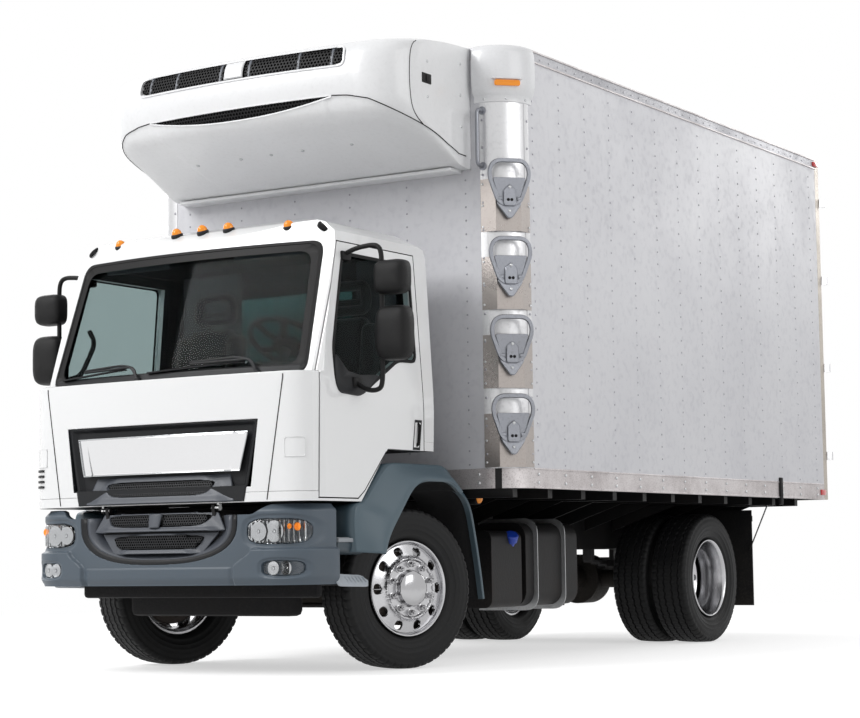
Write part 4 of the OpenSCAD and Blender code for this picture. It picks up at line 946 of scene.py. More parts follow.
def slat(name, body, foot, head, foot_half, head_half, insert, face, lean, tab=False):
    """A slat: a trapezoid that leans back as it rises, with a sunk window for its insert."""
    x, z = trapezoid(foot, head, foot_half, head_half, 110, 40)
    up = (z - foot) / (head - foot)
    (ix, iz, ihx, ihz) = insert
    hole = round_mask(x, z, (ix, iz), (ihx * (0.80 + 0.28 * up), ihz), 5, 0.10)
    wing = smooth(foot_half - 0.10, foot_half, np.abs(x) + 0.12 * up)
    back = face(x, z) + lean * up + 0.016 * wing + 0.026 * hole - 0.010 * (1 - smooth(0, 0.25, up)) * (1
            - wing)
    panel(name, np.stack((x, back, z), -1), [slat_grey, grille_black], body, 0.012, (0, -1, 0), hole > 0.5)

    def inside(u, v):
        """True in the window, a rounded box that widens upwards, except behind a tab."""
        reach = ihx * (0.80 + 0.28 * (v - foot) / (head - foot)) - 0.006
        return (abs((u - ix) / reach) ** 5 + abs((v - iz) / (ihz
                - 0.004)) ** 5 < 1) and not (tab and abs(u) < 0.045)

    def place(u, v, depth):
        """On the slat's leaning face, sunk by depth."""
        return np.stack((u, face(u, v) + lean * (v - foot) / (head - foot) + 0.004 + depth, v), -1)

    build(name + " mesh", honeycomb(inside, place, (ix - ihx, iz - ihz), (ix + ihx, iz + ihz), 0.0155, 0.0032,
                                    0.010), grille_black, body, crease=20)


def on_cab(x, z):
    """The upper slat's seat: just in front of the cab's panel."""
    return cab_front_face(x, z) - 0.022


def on_bumper(x, z):
    """The lower slats' seat: just behind the bumper's plain face at any height."""
    return bumper_face(x) + 0.004


slat("upper slat", "cab", 0.905, 1.045, 0.500, 0.452, (0, 0.978, 0.368, 0.040), on_cab, 0.040)
slat("lower slat", "chassis", 0.757, 0.848, 0.440, 0.385, (0, 0.810, 0.340, 0.032), on_bumper, 0.020,
     tab=True)
slat("bumper insert", "chassis", 0.640, 0.745, 0.300, 0.390, (0, 0.696, 0.300, 0.036), on_bumper, 0.014)
x, z = trapezoid(0.775, 0.846, 0.034, 0.045, 12, 12)
panel("slat tab", np.stack((x, bumper_face(x) - 0.010 + 0.012 * (z - 0.775) / 0.07 + 6.0 * x ** 2, z), -1),
      slat_grey, "chassis", 0.012, (0, -1, 0))

turn = np.linspace(0, math.pi, 60)
arc = np.column_stack((np.sign(np.cos(turn)) * np.abs(np.cos(turn)) ** 0.77, -np.abs(np.sin(turn)) ** 0.77))


def u_path(half, foot, top, stand):
    """Down one side of the U, round the bowl and up the other, on the bumper's face."""
    u_bowl = np.column_stack((half * arc[:, 0], 0.80 + (0.80 - foot) * arc[:, 1]))
    flat_path = np.vstack(([(half, top)], u_bowl, [(-half, top)]))
    return np.column_stack((flat_path[:, 0], bumper_face(flat_path[:, 0]) - stand, flat_path[:, 1]))


for title, trim, edge, paths in (("u trim black", grille_black, 32,
                                  ((0.525, 0.583, 0.004), (0.492, 0.606, -0.010), (0.486, 0.609, -0.030))),
                                 ("u trim grey", slat_grey, 20,
                                  ((0.490, 0.607, -0.010), (0.470, 0.612, -0.012), (0.415, 0.650, -0.048)))):
    panel(title, np.stack([u_path(half, foot, 0.832, stand) for half, foot, stand in paths]), trim, "chassis",
          0.003, (0, -1, 0), crease=edge)


# ---- cab shell, floor and doors -------------------------------------------------
# Pressed steel with deep gloss white paint outside and grey moulded lining inside; the lining's near-black
# colour is partly its own dark grey and partly painted shade inside the cab.
# The front corners carry a seam, a foothold and a vent; rubber fills the seams.
cab_white = finish("cab white paint", (0.80, 0.805, 0.81), 0.32, amount=0.025, height=1.2, scale=1.5,
                   depth=0.0, coat=0.8)
# The lining's near-black colour is partly its own dark grey and partly painted shade inside the cab.
lining = finish("cab lining", (0.022, 0.025, 0.028), 0.7, amount=0.05, depth=0.25, stretch=500, **DULL)
rubber = finish("seal rubber", (0.004, 0.004, 0.0045), 0.5, amount=0.05, depth=0.1, **DULL)
cab_low, cab_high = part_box("cab_shell")
cab_middle = np.array((0.0, (cab_low.y + cab_high.y) / 2 - NOSE, 1.60))


def faces_inwards(middles, normals):
    """True where a face looks towards the cab's middle: the shell's inner side."""
    inside = (np.abs(middles[:, 0]) < 0.945) & (middles[:, 2] < 2.42)
    return (np.einsum("ij,ij->i", normals, middles - cab_middle) < 0) & inside


def under_cab(middles, normals):
    """True except on the strip of skin that runs on below the front panel and the doors."""
    outward = np.einsum("ij,ij->i", normals[:, :2], middles[:, :2] - cab_middle[:2])
    return ~((outward > 0.2) & (np.abs(normals[:, 2]) < 0.3) & ((np.abs(middles[:, 0]) > 0.90)
            | (middles[:, 1] < 0.20)))


split_dressed("cab_shell", cab_white, lining, faces_inwards, "cab", 0.006, 28)
split_dressed("cab_front", cab_white, lining, faces_inwards, "cab", 0.006, 28)
split_dressed("cab_floor", cab_white, chassis_black, under_cab, "cab", 0.003, 28)


def door_skin_x(z):
    """How far out the cab's side lies at a height: upright, then leaning in above the waist."""
    return np.interp(z, (0.9, 1.400, 1.500, 2.260, 2.325, 2.375), (0.950, 0.950, 0.945, 0.885, 0.865, 0.805))


seams = []
for sign in (1, -1):
    z = np.linspace(1.545, 0.905, 40)
    x = np.interp(z, (0.905, 1.53), (0.700, 0.800))
    seams.append(carried(np.column_stack((sign * x, cab_front_face(x, z) - 0.0005, z)), circle(0.0028, 6),
                         (0, -1, 0)))
build("corner seams", seams, rubber, "cab")

for side_name, sign in SIDES:
    t, s = np.linspace(0, 1, 14)[:, None], np.linspace(0, 1, 26)[None, :]
    x, z = np.broadcast_arrays(0.806 + 0.098 * s, 1.120 + 0.100 * t)
    sink = 0.020 * smooth(0, 0.18, t) * smooth(0, 0.10, 1 - t) * smooth(0, 0.12, s) * smooth(0, 0.10, 1 - s)
    angle = np.clip((x - 0.790) / 0.160, 0, 0.999)
    back = 0.060 + 0.160 - 0.160 * np.sqrt(1 - angle ** 2)
    normal_x, normal_back = angle, -np.sqrt(1 - angle ** 2)
    lip = 0.006 * smooth(0.86, 0.97, t) * smooth(0, 0.1, 1 - t)
    stand = 0.003 - sink * 0.9 + lip
    foothold = np.stack((sign * (x + normal_x * stand), back + normal_back * stand, z), -1)
    panel("corner foothold " + side_name, foothold, cab_white, "cab", 0.002, (0, -1, 0), crease=40)
vents = []
for z_ in np.linspace(1.012, 1.100, 4):
    a = np.linspace(0.25, 1.05, 12)
    path = np.column_stack((-(0.790 + 0.162 * np.sin(a)), 0.060 + 0.160 - 0.162 * np.cos(a), np.full(12, z_)))
    vents.append(carried(path, ((-0.006, -0.004), (0.004, -0.007), (0.004, 0.004), (-0.006, 0.007))))
build("corner vent slots", vents, grille_black, "cab")


def door_inside(middles, normals):
    """True on the door's inner side, which is lined."""
    return normals[:, 0] * np.sign(middles[:, 0]) < -0.3


for side_name, sign in SIDES:
    body_name = "door_" + side_name
    split_dressed(body_name, cab_white, lining, door_inside, body_name, 0.004, 26)
    # the recessed handle: a dark cup, its pull and the lock beside it
    t, s = np.linspace(-1, 1, 30)[:, None], np.linspace(-1, 1, 18)[None, :]
    cup_z, cup_back = np.broadcast_arrays(1.265 + 0.082 * t, 1.085 + 0.034 * s + 0.012 * t)
    cup_deep = 0.018 * (1 - smooth(0.55, 0.92, np.maximum(np.abs(t), np.abs(s))))
    cup_x = door_skin_x(cup_z) + 0.003 - cup_deep
    panel("handle cup " + side_name, np.stack((sign * cup_x, cup_back, cup_z), -1), grille_black, body_name,
          0.002, (sign, 0, 0))
    pull = carried(eased([(sign * x_, b_, z_) for x_, b_, z_ in ((0.940, 1.096, 1.330), (0.962, 1.094, 1.318),
            (0.962, 1.082, 1.215), (0.940, 1.080, 1.204))], 0.02), circle(0.009, 10) * (1.0, 0.8), (0, 1, 0))
    build("door handle " + side_name, [pull] + buttons([(sign * 0.936, 1.070, 1.196)], (sign, 0, 0), 0.009,
            0.004, 16), rubber, body_name)
    # the black quarter under the window that carries the mirror's lower arm
    corner = outline_of(((0.330, 1.665), (0.318, 1.585), (0.322, 1.500), (0.352, 1.455), (0.540, 1.446),
                         (0.600, 1.480), (0.735, 1.572), (0.545, 1.560), (0.430, 1.575)), 0.030, 5)
    outline = np.column_stack((sign * door_skin_x(corner[:, 1]), corner))
    build("window corner " + side_name, [slab(outline, (-sign * 0.012, 0, 0), (sign * 0.009, 0, 0), 0.005)],
          grille_black, body_name, crease=50)
    # the window's rubber frame
    window = eased(((0.325, 1.500), (0.545, 1.452), (0.925, 1.660), (1.105, 1.665), (1.110, 2.205),
                    (0.470, 2.205), (0.318, 1.690)), 0.045, 6, closed=True)
    build("window seal " + side_name, [carried(np.column_stack((sign * (door_skin_x(window[:, 1]) + 0.001),
            window)), ((-0.012, -0.004), (0.006, -0.004), (0.006, 0.003), (-0.012, 0.003)), (sign, 0, 0))],
          rubber, body_name)
    # armrest and map pocket on the lining
    build("door pull pad " + side_name, [block_at(sign * 0.858, 0.030, (0.62, 1.02), (1.40, 1.45), 0.015),
          block_at(sign * 0.866, 0.022, (0.56, 1.04), (1.20, 1.31), 0.012)], lining, body_name)

# roof: five amber marker lamps, and a dark side lamp at each front corner
MARKER_X = (-0.585, -0.18, 0.0, 0.18, 0.585)
roof_marks = []
for x_ in MARKER_X:
    z_ = 2.402 - 0.03 * (x_ / 0.585) ** 2
    roof_marks.append(turned(((0.027, -0.020), (0.028, 0.0), (0.024, 0.014), (0.014, 0.024), (0.003, 0.028)),
                             (x_, 0.415, z_), (0, -0.35, 0.94), 24))
marker_glass = finish("marker lens", (0.72, 0.24, 0.015), 0.15, amount=0.04, depth=0.0,
                      Emission_Color=(1.0, 0.3, 0.0, 1), Emission_Strength=0.18)
build("roof markers", roof_marks, marker_glass, "cab", crease=60)
bases = [turned(((0.034, -0.025), (0.034, -0.005), (0.029, 0.000)),
                (x_, 0.415, 2.400 - 0.03 * (x_ / 0.585) ** 2), (0, -0.35, 0.94), 24) for x_ in MARKER_X]
build("roof marker seats", bases, grille_black, "cab")
ends = []
for sign in (1, -1):
    ends.append(turned(((0.040, -0.012), (0.040, 0.003), (0.034, 0.007), (0.006, 0.009)),
                       (sign * 0.800, 0.445, 2.352), (sign * 0.62, -0.25, 0.74), 24))
build("roof end lamps", ends, rubber, "cab")


# ---- windows ------------------------------------------------------------------
# Laminated windscreen glued behind a wide black border, door panes and a small
# tinted rear window; all slightly green.
def glass(name, tint, roughness=0.0):
    """Clear glass with its tint; dust only dulls it."""
    material = bpy.data.materials.new(name)
    material.use_nodes = True
    tree = material.node_tree
    shader = tree.nodes["Principled BSDF"]
    wear = node(tree, "ShaderNodeGroup", node_tree=road_wear)
    wear.inputs["Clean"].default_value = (*tint, 1)
    wear.inputs["Dust"].default_value = (*(c * 0.97 for c in tint), 1)
    wear.inputs["Amount"].default_value = 0.05
    wear.inputs["Roughness"].default_value = roughness
    tree.links.new(wear.outputs["Color"], shader.inputs["Base Color"])
    shader.inputs["Roughness"].default_value = roughness
    shader.inputs["IOR"].default_value = 1.08
    shader.inputs["Transmission Weight"].default_value = 1.0
    shader.inputs["Specular IOR Level"].default_value = 0.5
    return material


screen_glass = glass("windscreen glass", (0.50, 0.56, 0.56))
door_pane_glass = glass("door glass", (0.46, 0.54, 0.54))
tinted_glass = glass("rear glass", (0.10, 0.26, 0.24))
dressed("windscreen", screen_glass, "cab", 0, 20)
dressed("rear_window", tinted_glass, "cab", 0, 20)
for side_name in ("left", "right"):
    dressed("door_glass_" + side_name, door_pane_glass, "door_" + side_name, 0, 20)


def screen_ring(inset, stand):
    """The windscreen's outline with rounded corners, drawn in by inset, on the glass's outer face."""
    ring = eased(((0.856 - inset, 1.560 + inset * 0.9), (-0.856 + inset, 1.560 + inset * 0.9),
                  (-0.812 + inset, 2.262 - inset), (0.812 - inset, 2.262 - inset)), 0.075, 10, closed=True)
    x_, z_ = evenly(ring, 300).T
    return np.column_stack((x_, cab_front_face(x_, np.maximum(z_, BELT_Z)) - stand, z_))


BORDER = ((-0.012, -0.004), (-0.010, 0.006), (0.004, 0.007), (0.008, 0.003), (0.046, 0.0022), (0.047, -0.004))
border = [screen_ring(inset, stand) for inset, stand in BORDER + BORDER[:1]]
build("windscreen border", [np.stack(border)], rubber, "cab", crease=40)
t, s = np.linspace(0, 1, 8)[:, None], np.linspace(-1, 1, 80)[None, :]
x, z = np.broadcast_arrays(s * (0.850 - 0.004 * t), 1.548 + 0.052 * t)
panel("scuttle", np.stack((x, cab_front_face(x, np.maximum(z, BELT_Z)) - 0.004 - 0.006 * smooth(0, 1, 1 - t),
                           z), -1), grille_black, "cab", 0.003, (0, -1, 0))
rear_ring = eased(((0.445, 1.725), (-0.445, 1.725), (-0.445, 2.145), (0.445, 2.145)), 0.06, 8, closed=True)
pane_low, pane_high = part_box("rear_window")
rear_back = (pane_low.y + pane_high.y) / 2 - NOSE
lean_back = np.interp(rear_ring[:, 1], (1.725, 2.145), (rear_back - 0.008, rear_back + 0.008))
build("rear window seal", [carried(np.column_stack((rear_ring[:, 0], lean_back, rear_ring[:, 1])),
                                   flat_bar(0.02, 0.030), (0, 1, 0))], rubber, "cab")


# ---- wipers and grab rail ---------------------------------------------------------
# Two cranked twin-rod arms parked along the foot of the screen, with rubber blades.
def on_glass(x, z, stand):
    """A point standing off the screen, square to the road."""
    return (x, float(cab_front_face(np.array(x), np.array(z))) - stand, z)


wiper_parts = []
for pivot, blade in ((0.600, (0.47, -0.11)), (-0.165, (-0.28, -0.78))):
    wiper_parts.append(turned(((0.017, -0.004), (0.017, 0.022), (0.012, 0.028), (0.002, 0.029)),
                              on_glass(pivot, 1.563, 0.006), (0, -1, 0.1), 20))
    for shift in (0.0, 0.016):
        wiper_parts.append(carried(eased((on_glass(pivot, 1.565, 0.026),
                                          on_glass(pivot - 0.055 + shift, 1.640, 0.032),
                                          on_glass(pivot - 0.14, 1.652 - shift, 0.032),
                                          on_glass(pivot - 0.42, 1.640 - shift * 0.6, 0.028)), 0.04),
                                   circle(0.0065, 8), (0, -1, 0)))
    a, b = blade
    x_ = np.linspace(a, b, 30)
    z_ = 1.600 + 0.030 * (x_ - b) / (a - b)
    spine = np.column_stack((x_, cab_front_face(x_, z_) - 0.016, z_))
    wiper_parts.append(carried(spine, flat_bar(0.004, 0.006), (0, -1, 0)))
    wiper_parts.append(carried(spine + (0, 0.009, -0.002), flat_bar(0.002, 0.008), (0, -1, 0)))
build("wiper arms", wiper_parts, grille_black, "cab", "wipers", crease=40)
rails = [carried(eased([(sign * x_, b_, z_) for x_, b_, z_ in ((0.855, 0.29, 1.62), (0.800, 0.33, 1.64),
        (0.775, 0.42, 1.83), (0.835, 0.44, 1.90))], 0.05), circle(0.014, 12), (0, 1, 0.2))
         for sign in (1, -1)]
build("grab rails", rails, lining, "cab")


# ---- mirrors ----------------------------------------------------------------------
# Two black moulded housings a side on a bent steel tube, with glass towards the driver.
mirror_black = finish("mirror housing", (0.007, 0.007, 0.0075), 0.45, amount=0.08, depth=0.25, stretch=350,
                      **DULL)
mirror_glass = finish("mirror glass", (0.75, 0.77, 0.78), 0.03, metallic=1.0, amount=0.03, depth=0.0)
HEADS = ((1.965, 2.145, 1.085, 1.285), (1.620, 1.905, 1.090, 1.300))


def housing(x0, x1, z0, z1, front, deep):
    """A mirror's back: rings of a rounded rectangle that shrink and sink towards the middle, as
    (1 - t^2.6) * deep, closed by a rim round the glass."""
    turn = np.linspace(0, 2 * math.pi, 56, endpoint=False)
    c, s = np.cos(turn), np.sin(turn)
    ox, oz = np.sign(c) * np.abs(c) ** 0.48, np.sign(s) * np.abs(s) ** 0.48
    t = np.array((0.92, 0.985, 1.0, 1.0, 0.985, 0.94, 0.85, 0.66, 0.4, 0.12))[:, None]
    swell_share = np.array((0.0, 0.0, 0.004, 0.30, 0.52, 0.70, 0.84, 0.94, 0.985, 1.0))[:, None]
    return np.stack(np.broadcast_arrays((x0 + x1) / 2 + ox * t * (x1 - x0) / 2,
                                        front + deep * (1 - swell_share),
                                        (z0 + z1) / 2 + oz * t * (z1 - z0) / 2), -1)


for side_name, sign in SIDES:
    parts, mirror_faces = [], []
    for z0, z1, x0, x1 in HEADS:
        parts.append(housing(x0, x1, z0, z1, 0.440, 0.090) * (sign, 1, 1))
        inner_glass = outline_of(((x0 + 0.012, z0 + 0.012), (x1 - 0.012, z0 + 0.012),
                                  (x1 - 0.012, z1 - 0.012), (x0 + 0.012, z1 - 0.012)), 0.03, 5)
        mirror_faces.append(slab(np.column_stack((sign * inner_glass[:, 0], np.full(len(inner_glass), 0.529),
                inner_glass[:, 1])), (0, -0.004, 0), (0, 0.003, 0), 0.001))
        parts.append(block_at(sign * 1.120, 0.024, (0.470, 0.520), (z0 + 0.05, z1 - 0.05), 0.012))
    arm = eased([(sign * x_, b_, z_) for x_, b_, z_ in ((0.872, 0.492, 2.190), (0.955, 0.498, 2.225),
            (1.085, 0.500, 2.236), (1.120, 0.500, 2.200), (1.120, 0.500, 1.52), (1.105, 0.500, 1.470),
            (1.020, 0.500, 1.470), (0.948, 0.502, 1.520))], 0.05, 8)
    parts.append(carried(arm, circle(0.013, 12), (0, 1, 0)))
    parts.append(block_at(sign * 0.885, 0.022, (0.455, 0.540), (2.165, 2.215), 0.012))
    parts.append(block_at(sign * 0.948, 0.018, (0.465, 0.545), (1.490, 1.545), 0.012))
    build("mirror arm and housings " + side_name, parts, mirror_black, "door_" + side_name,
          "mirrors_" + side_name, crease=40)
    build("mirror faces " + side_name, mirror_faces, mirror_glass, "door_" + side_name)


# ---- fenders and entry steps ---------------------------------------------------
# Blue-grey moulded fenders flared out over the tyres and black inside, each with a
# guard trailing behind. Steps with ribbed treads fill the gap to the bumper.
fender_blue = finish("fender blue grey", (0.058, 0.094, 0.118), 0.40, amount=0.05, depth=0.10, stretch=300)
step_blue = finish("step housing", (0.030, 0.048, 0.062), 0.42, amount=0.05, depth=0.12, stretch=300)
liner_black = finish("wheel arch liner", (0.006, 0.006, 0.007), 0.7, amount=0.06, depth=0.3, stretch=160,
                     **DULL)
tread_grey = finish("tread plastic", (0.28, 0.30, 0.32), 0.5, amount=0.10, depth=0.2, stretch=300)
tongue_silver = finish("step tongue", (0.46, 0.50, 0.55), 0.38, amount=0.12, depth=0.3, stretch=260)
door_edge = evenly(eased(((0.470, 0.632), (0.452, 0.760), (0.462, 0.884), (0.548, 0.888), (0.700, 1.035),
                          (0.790, 1.106), (1.335, 1.106), (1.424, 1.050), (1.436, 0.992)), 0.05), 90)
arch_lip = evenly(eased(((0.632, 0.622), (0.664, 0.712), (0.905, 0.975), (1.015, 1.020), (1.290, 1.020),
                         (1.400, 0.955)), 0.085), 90)
for side_name, sign in SIDES:
    rows = []
    for t in np.linspace(0, 1, 14):
        out_x = 0.956 + 0.092 * smooth(-0.10, 1.05, t) - 0.006 * smooth(0.85, 1, t)
        rows.append(np.column_stack((np.full(90, out_x), door_edge * (1 - t) + arch_lip * t)))
    towards = np.array((1.103, 0.434)) - arch_lip
    towards /= np.linalg.norm(towards, axis=1)[:, None]
    for x_, dip in ((1.030, 0.010), (1.008, 0.006), (0.97, -0.012), (0.80, -0.016), (0.57, -0.016)):
        rows.append(np.column_stack((np.full(90, x_), arch_lip + towards * dip)))
    skin = np.stack(rows) * (sign, 1, 1)
    which = np.zeros(skin.shape[:2])
    which[15:] = 1
    shelf = np.stack([np.column_stack((np.full(90, x_), door_edge + (0, drop)))
                      for x_, drop in ((0.956, 0), (0.90, -0.002), (0.57, -0.002))]) * (sign, 1, 1)
    panel("fender skin " + side_name, skin, [fender_blue, liner_black], "chassis", 0.004, (sign, -0.2, 0.2),
          which, "front_fenders" if sign > 0 else (), crease=45)
    panel("fender top " + side_name, shelf, fender_blue, "chassis", 0.004, (0, 0, 1), crease=40)
    trail = evenly(eased(((1.385, 1.000), (1.525, 0.965), (1.612, 0.880), (1.668, 0.690), (1.715, 0.500),
                          (1.742, 0.362)), 0.08), 50)
    edge_path = np.column_stack((np.full(50, sign * 0.945), trail))
    build("guard edge " + side_name, [carried(edge_path, ((-0.010, -0.016), (0.010, -0.016), (0.010, 0.014),
            (0.006, 0.018), (-0.006, 0.018), (-0.010, 0.014)), (1, 0, 0))], fender_blue, "chassis")
    guard_sheet = np.stack([np.column_stack((np.full(50, sign * x_), trail)) for x_ in (0.935, 0.80, 0.62)])
    panel("guard " + side_name, guard_sheet, liner_black, "chassis", 0.004, (0, 0.6, 0.5))
    arms = [carried([(sign * 0.38, b_, 0.76), (sign * x_, b_, 0.76)], circle(0.018, 12))
            for x_, b_ in ((0.60, 0.628), (0.93, 1.67))]
    build("fender brackets " + side_name, arms, chassis_black, "chassis")
    # the side marker on its bracket
    build("marker bracket " + side_name, [rounded_block((sign * 0.905 - 0.050, 1.690, 0.895),
            (sign * 0.905 + 0.045, 1.760, 0.985), 0.012), carried([(sign * 0.40, 1.73, 0.95),
            (sign * 0.87, 1.73, 0.95)], circle(0.012, 10))], liner_black, "chassis")
    dome = turned(((0.040, -0.010), (0.040, 0.004), (0.034, 0.014), (0.018, 0.021), (0.003, 0.023)),
                  (0, 0, 0), (sign * 0.86, -0.5, 0), 28)
    dome[..., :2] *= 0.62
    build("side marker " + side_name, [dome + (sign * 0.953, 1.720, 0.941)], marker_glass, "chassis",
          crease=60)

tread_parts, housing_parts, tongue_parts, step_iron = [], [], [], []
for sign in (1, -1):
    tread_parts.append(block_at(sign * 0.800, 0.150, (0.330, 0.600), (0.684, 0.706), 0.006))
    for x_ in np.arange(0.68, 0.94, 0.022):
        tread_parts.append(block_at(sign * x_, 0.004, (0.350, 0.590), (0.704, 0.710), 0.002, 2))
    a = np.linspace(0, math.pi / 2, 12)
    section = np.vstack(([(0.60, 0.684), (0.938, 0.684)], np.column_stack((0.878 + 0.060 * np.cos(a),
            0.670 - 0.050 * np.sin(a))), [(0.60, 0.620)]))
    housing_parts.append(np.stack([np.column_stack((sign * section[:, 0], np.full(len(section), b_),
            section[:, 1])) for b_ in (0.335, 0.345, 0.590, 0.600)]))
    lean = np.array((sign * -0.055, 0.0, 0.060))
    outline = outline_of(((0.300, 0.0), (0.300, 1.0), (0.560, 1.0), (0.600, 0.5), (0.560, 0.0)), 0.07, 6)
    ring = np.column_stack((np.full(len(outline), sign * 0.968), outline[:, 0],
                            0.448 + 0.010 * (0.6 - outline[:, 0]) / 0.3)) + outline[:, 1:] * lean
    tongue_parts.append(slab(ring, (0, 0, 0), (sign * 0.008, 0, 0.007), 0.004))
    for b_ in np.linspace(0.40, 0.56, 6):
        low_end = np.array((sign * 0.968, b_, 0.455)) + 0.25 * lean + (sign * 0.009, 0, 0.008)
        tongue_parts.append(carried([low_end, low_end + 0.5 * lean], circle(0.003, 6), (0, 1, 0)))
    step_iron.append(block_at(sign * 0.545, 0.165, (0.500, 0.540), (0.650, 0.685), 0.006))
    step_iron.append(block_at(sign * 0.710, 0.012, (0.480, 0.560), (0.470, 0.680), 0.004))
    step_iron.append(block_at(sign * 0.820, 0.120, (0.470, 0.560), (0.462, 0.482), 0.006))
build("step treads", tread_parts, tread_grey, "chassis", "entry_steps")
build("step housings", housing_parts, step_blue, "chassis", crease=40)
build("step tongues", tongue_parts, tongue_silver, "chassis", crease=40)
build("step hangers", step_iron, chassis_black, "chassis")
build("engine undertray", [rounded_block((-0.55, 0.450, 0.300), (0.55, 0.580, 0.640), 0.030),
      rounded_block((-0.80, 0.345, 0.400), (0.80, 0.400, 0.600), 0.020),
      rounded_block((-0.52, 0.300, 0.620), (0.52, 0.330, 0.886), 0.010)], liner_black, "chassis")


# ---- insulated box -----------------------------------------------------------
# Riveted white sandwich panels between aluminium rails: a deep bottom rail with
# bolts, a lipped top rail, round corner posts and white moulded caps with lamps.
RIVET, SCREW = (0.0062, 0.0032, 6), (0.0075, 0.005, 8)  # radius, height and sides of a head
BOX_HALF, BOX_FRONT, BOX_REAR, POST_R = 1.300, 1.550, 6.095, 0.200


def clouded(name, clean, cloud, roughness, scale, stretch, amount, metallic=0.0, depth=0.03):
    """A panel finish: a cloudy second tone laid on in soft streaks, under the same fine grain."""
    return finish(name, clean, roughness, metallic=metallic, dust=cloud, amount=amount, height=7.0,
                  scale=scale, stretch=stretch, depth=depth)


# The panels are white; both tones here are a darker, bluer grey that stands for painted shade, and the
# clouding between them is the panels' own mottling.
panel_white_painted_shade = clouded("panel white with painted shade", (0.60, 0.60, 0.625), (0.50, 0.50, 0.535), 0.34, 0.8, (9, 9, 0.7), 0.40,
                      depth=0.05)
rail_aluminium = clouded("rail aluminium", (0.56, 0.53, 0.53), (0.34, 0.31, 0.31), 0.36, 4.0, (6, 6, 500),
                         0.5, metallic=0.75, depth=0.04)
post_aluminium = clouded("post aluminium", (0.66, 0.66, 0.67), (0.52, 0.52, 0.53), 0.27, 1.2, (420, 420, 3),
                         0.35, metallic=0.85, depth=0.06)
roof_grey = clouded("roof rail grey", (0.42, 0.42, 0.44), (0.25, 0.25, 0.27), 0.40, 3.0, (6, 6, 400), 0.4,
                    metallic=0.6)
rivet_grey = finish("rivet", (0.34, 0.34, 0.37), 0.35, metallic=0.6, amount=0.15)
cap_white = finish("cap moulding", (0.74, 0.745, 0.76), 0.36, amount=0.06, height=5.0, depth=0.04, coat=0.3)
frame_tan = finish("rear frame alloy", (0.46, 0.42, 0.37), 0.40, metallic=0.7, amount=0.2, height=6.0,
                   stretch=(300, 300, 5), depth=0.06)


def under_rail(middles, normals):
    """True for the floor's crossmembers and bearers and the rail's underside."""
    return (middles[:, 2] < 0.977) | (np.abs(middles[:, 0]) < 1.20) & (middles[:, 1] > 1.56) | (normals[:,
            2] < -0.5)


split_dressed("body_floor", rail_aluminium, chassis_black, under_rail, "chassis", 0.002, 28)
# The sides and front wall take the panel finish, with its painted shade.
dressed("body_side_left", panel_white_painted_shade, "chassis", 0.0015, 28)
dressed("body_side_right", panel_white_painted_shade, "chassis", 0.0015, 28)
dressed("body_front_wall", panel_white_painted_shade, "chassis", 0.0015, 28)
dressed("body_roof", roof_grey, "chassis", 0.003, 28)
dressed("corner_posts", post_aluminium, "chassis", 0.001, 28)
dressed("rear_frame", frame_tan, "chassis", 0.004, 28)

columns, rivet_rows = np.arange(1.800, 6.02, 0.315), np.arange(1.115, 3.41, 0.077)
rivets, lips = [], []
for sign in (1, -1):
    rivets += buttons([(sign * BOX_HALF, b_, z_) for b_ in columns for z_ in rivet_rows], (sign, 0, 0),
                      *RIVET)
    rivets += buttons([(sign * (BOX_HALF + 0.0005), b_ + shift, 3.452) for b_ in columns[:-1]
                       for shift in (0.0, 0.105, 0.21)], (sign, 0, 0), 0.0055, 0.003, 6)
for x_ in np.arange(-1.00, 1.01, 0.400):
    rivets += buttons([(x_, BOX_FRONT, z_) for z_ in rivet_rows], (0, -1, 0), *RIVET)
build("panel rivets", rivets, rivet_grey, "chassis", crease=50)
bolts, post_rivets = [], []
for sign in (1, -1):
    bolts += buttons([(sign * (BOX_HALF + 0.001), b_, z_) for b_ in columns for z_ in (1.010, 1.058)],
                     (sign, 0, 0), 0.0095, 0.006, 10)
    bolts += buttons([(sign * 1.060, BOX_FRONT - 0.001, z_) for z_ in (1.010, 1.058)], (0, -1, 0), 0.0095,
                     0.006, 10)
    heights = np.arange(1.17, 3.15, 0.158)
    post_rivets += buttons([(sign * (BOX_HALF + 0.0022), BOX_FRONT + POST_R - 0.016, z_) for z_ in heights],
                           (sign, 0, 0), 0.0078, 0.004, 8)
    post_rivets += buttons([(sign * (BOX_HALF - POST_R + 0.016), BOX_FRONT - 0.0022, z_) for z_ in heights],
                           (0, -1, 0), 0.0078, 0.004, 8)
    lips.append(block_at(sign * 1.3015, 0.0025, (1.750, 6.022), (1.084, 1.0925), 0.001, 2))
    lips.append(block_at(sign * 1.3015, 0.003, (1.750, 6.022), (0.978, 0.988), 0.001, 2))
    lips.append(block_at(sign * 1.303, 0.005, (1.750, 6.022), (3.421, 3.431), 0.002, 2))
    lips.append(block_at(sign * 1.302, 0.004, (1.750, 6.022), (3.484, 3.494), 0.002, 2))
lips.append(rounded_block((-1.10, BOX_FRONT - 0.004, 3.421), (1.10, BOX_FRONT + 0.004, 3.431), 0.002, 2))
build("rail bolts", bolts, zinc, "chassis", crease=50)
build("post rivets", post_rivets, rivet_grey, "chassis", crease=50)
build("rail lips", lips, rail_aluminium, "chassis")


def round_the_post(sign, radius, z, edge=0.0, steps=28):
    """Plan points round a front corner at a radius, going on straight by edge past both ends."""
    a = np.linspace(0, math.pi / 2, steps)
    line = np.column_stack((BOX_HALF - POST_R + radius * np.cos(a), BOX_FRONT + POST_R - radius * np.sin(a)))
    line = np.vstack(([(line[0, 0], line[0, 1] + edge)], line, [(line[-1, 0] - edge, line[-1, 1])]))
    return np.column_stack((sign * line[:, 0], line[:, 1], np.full(len(line), z)))


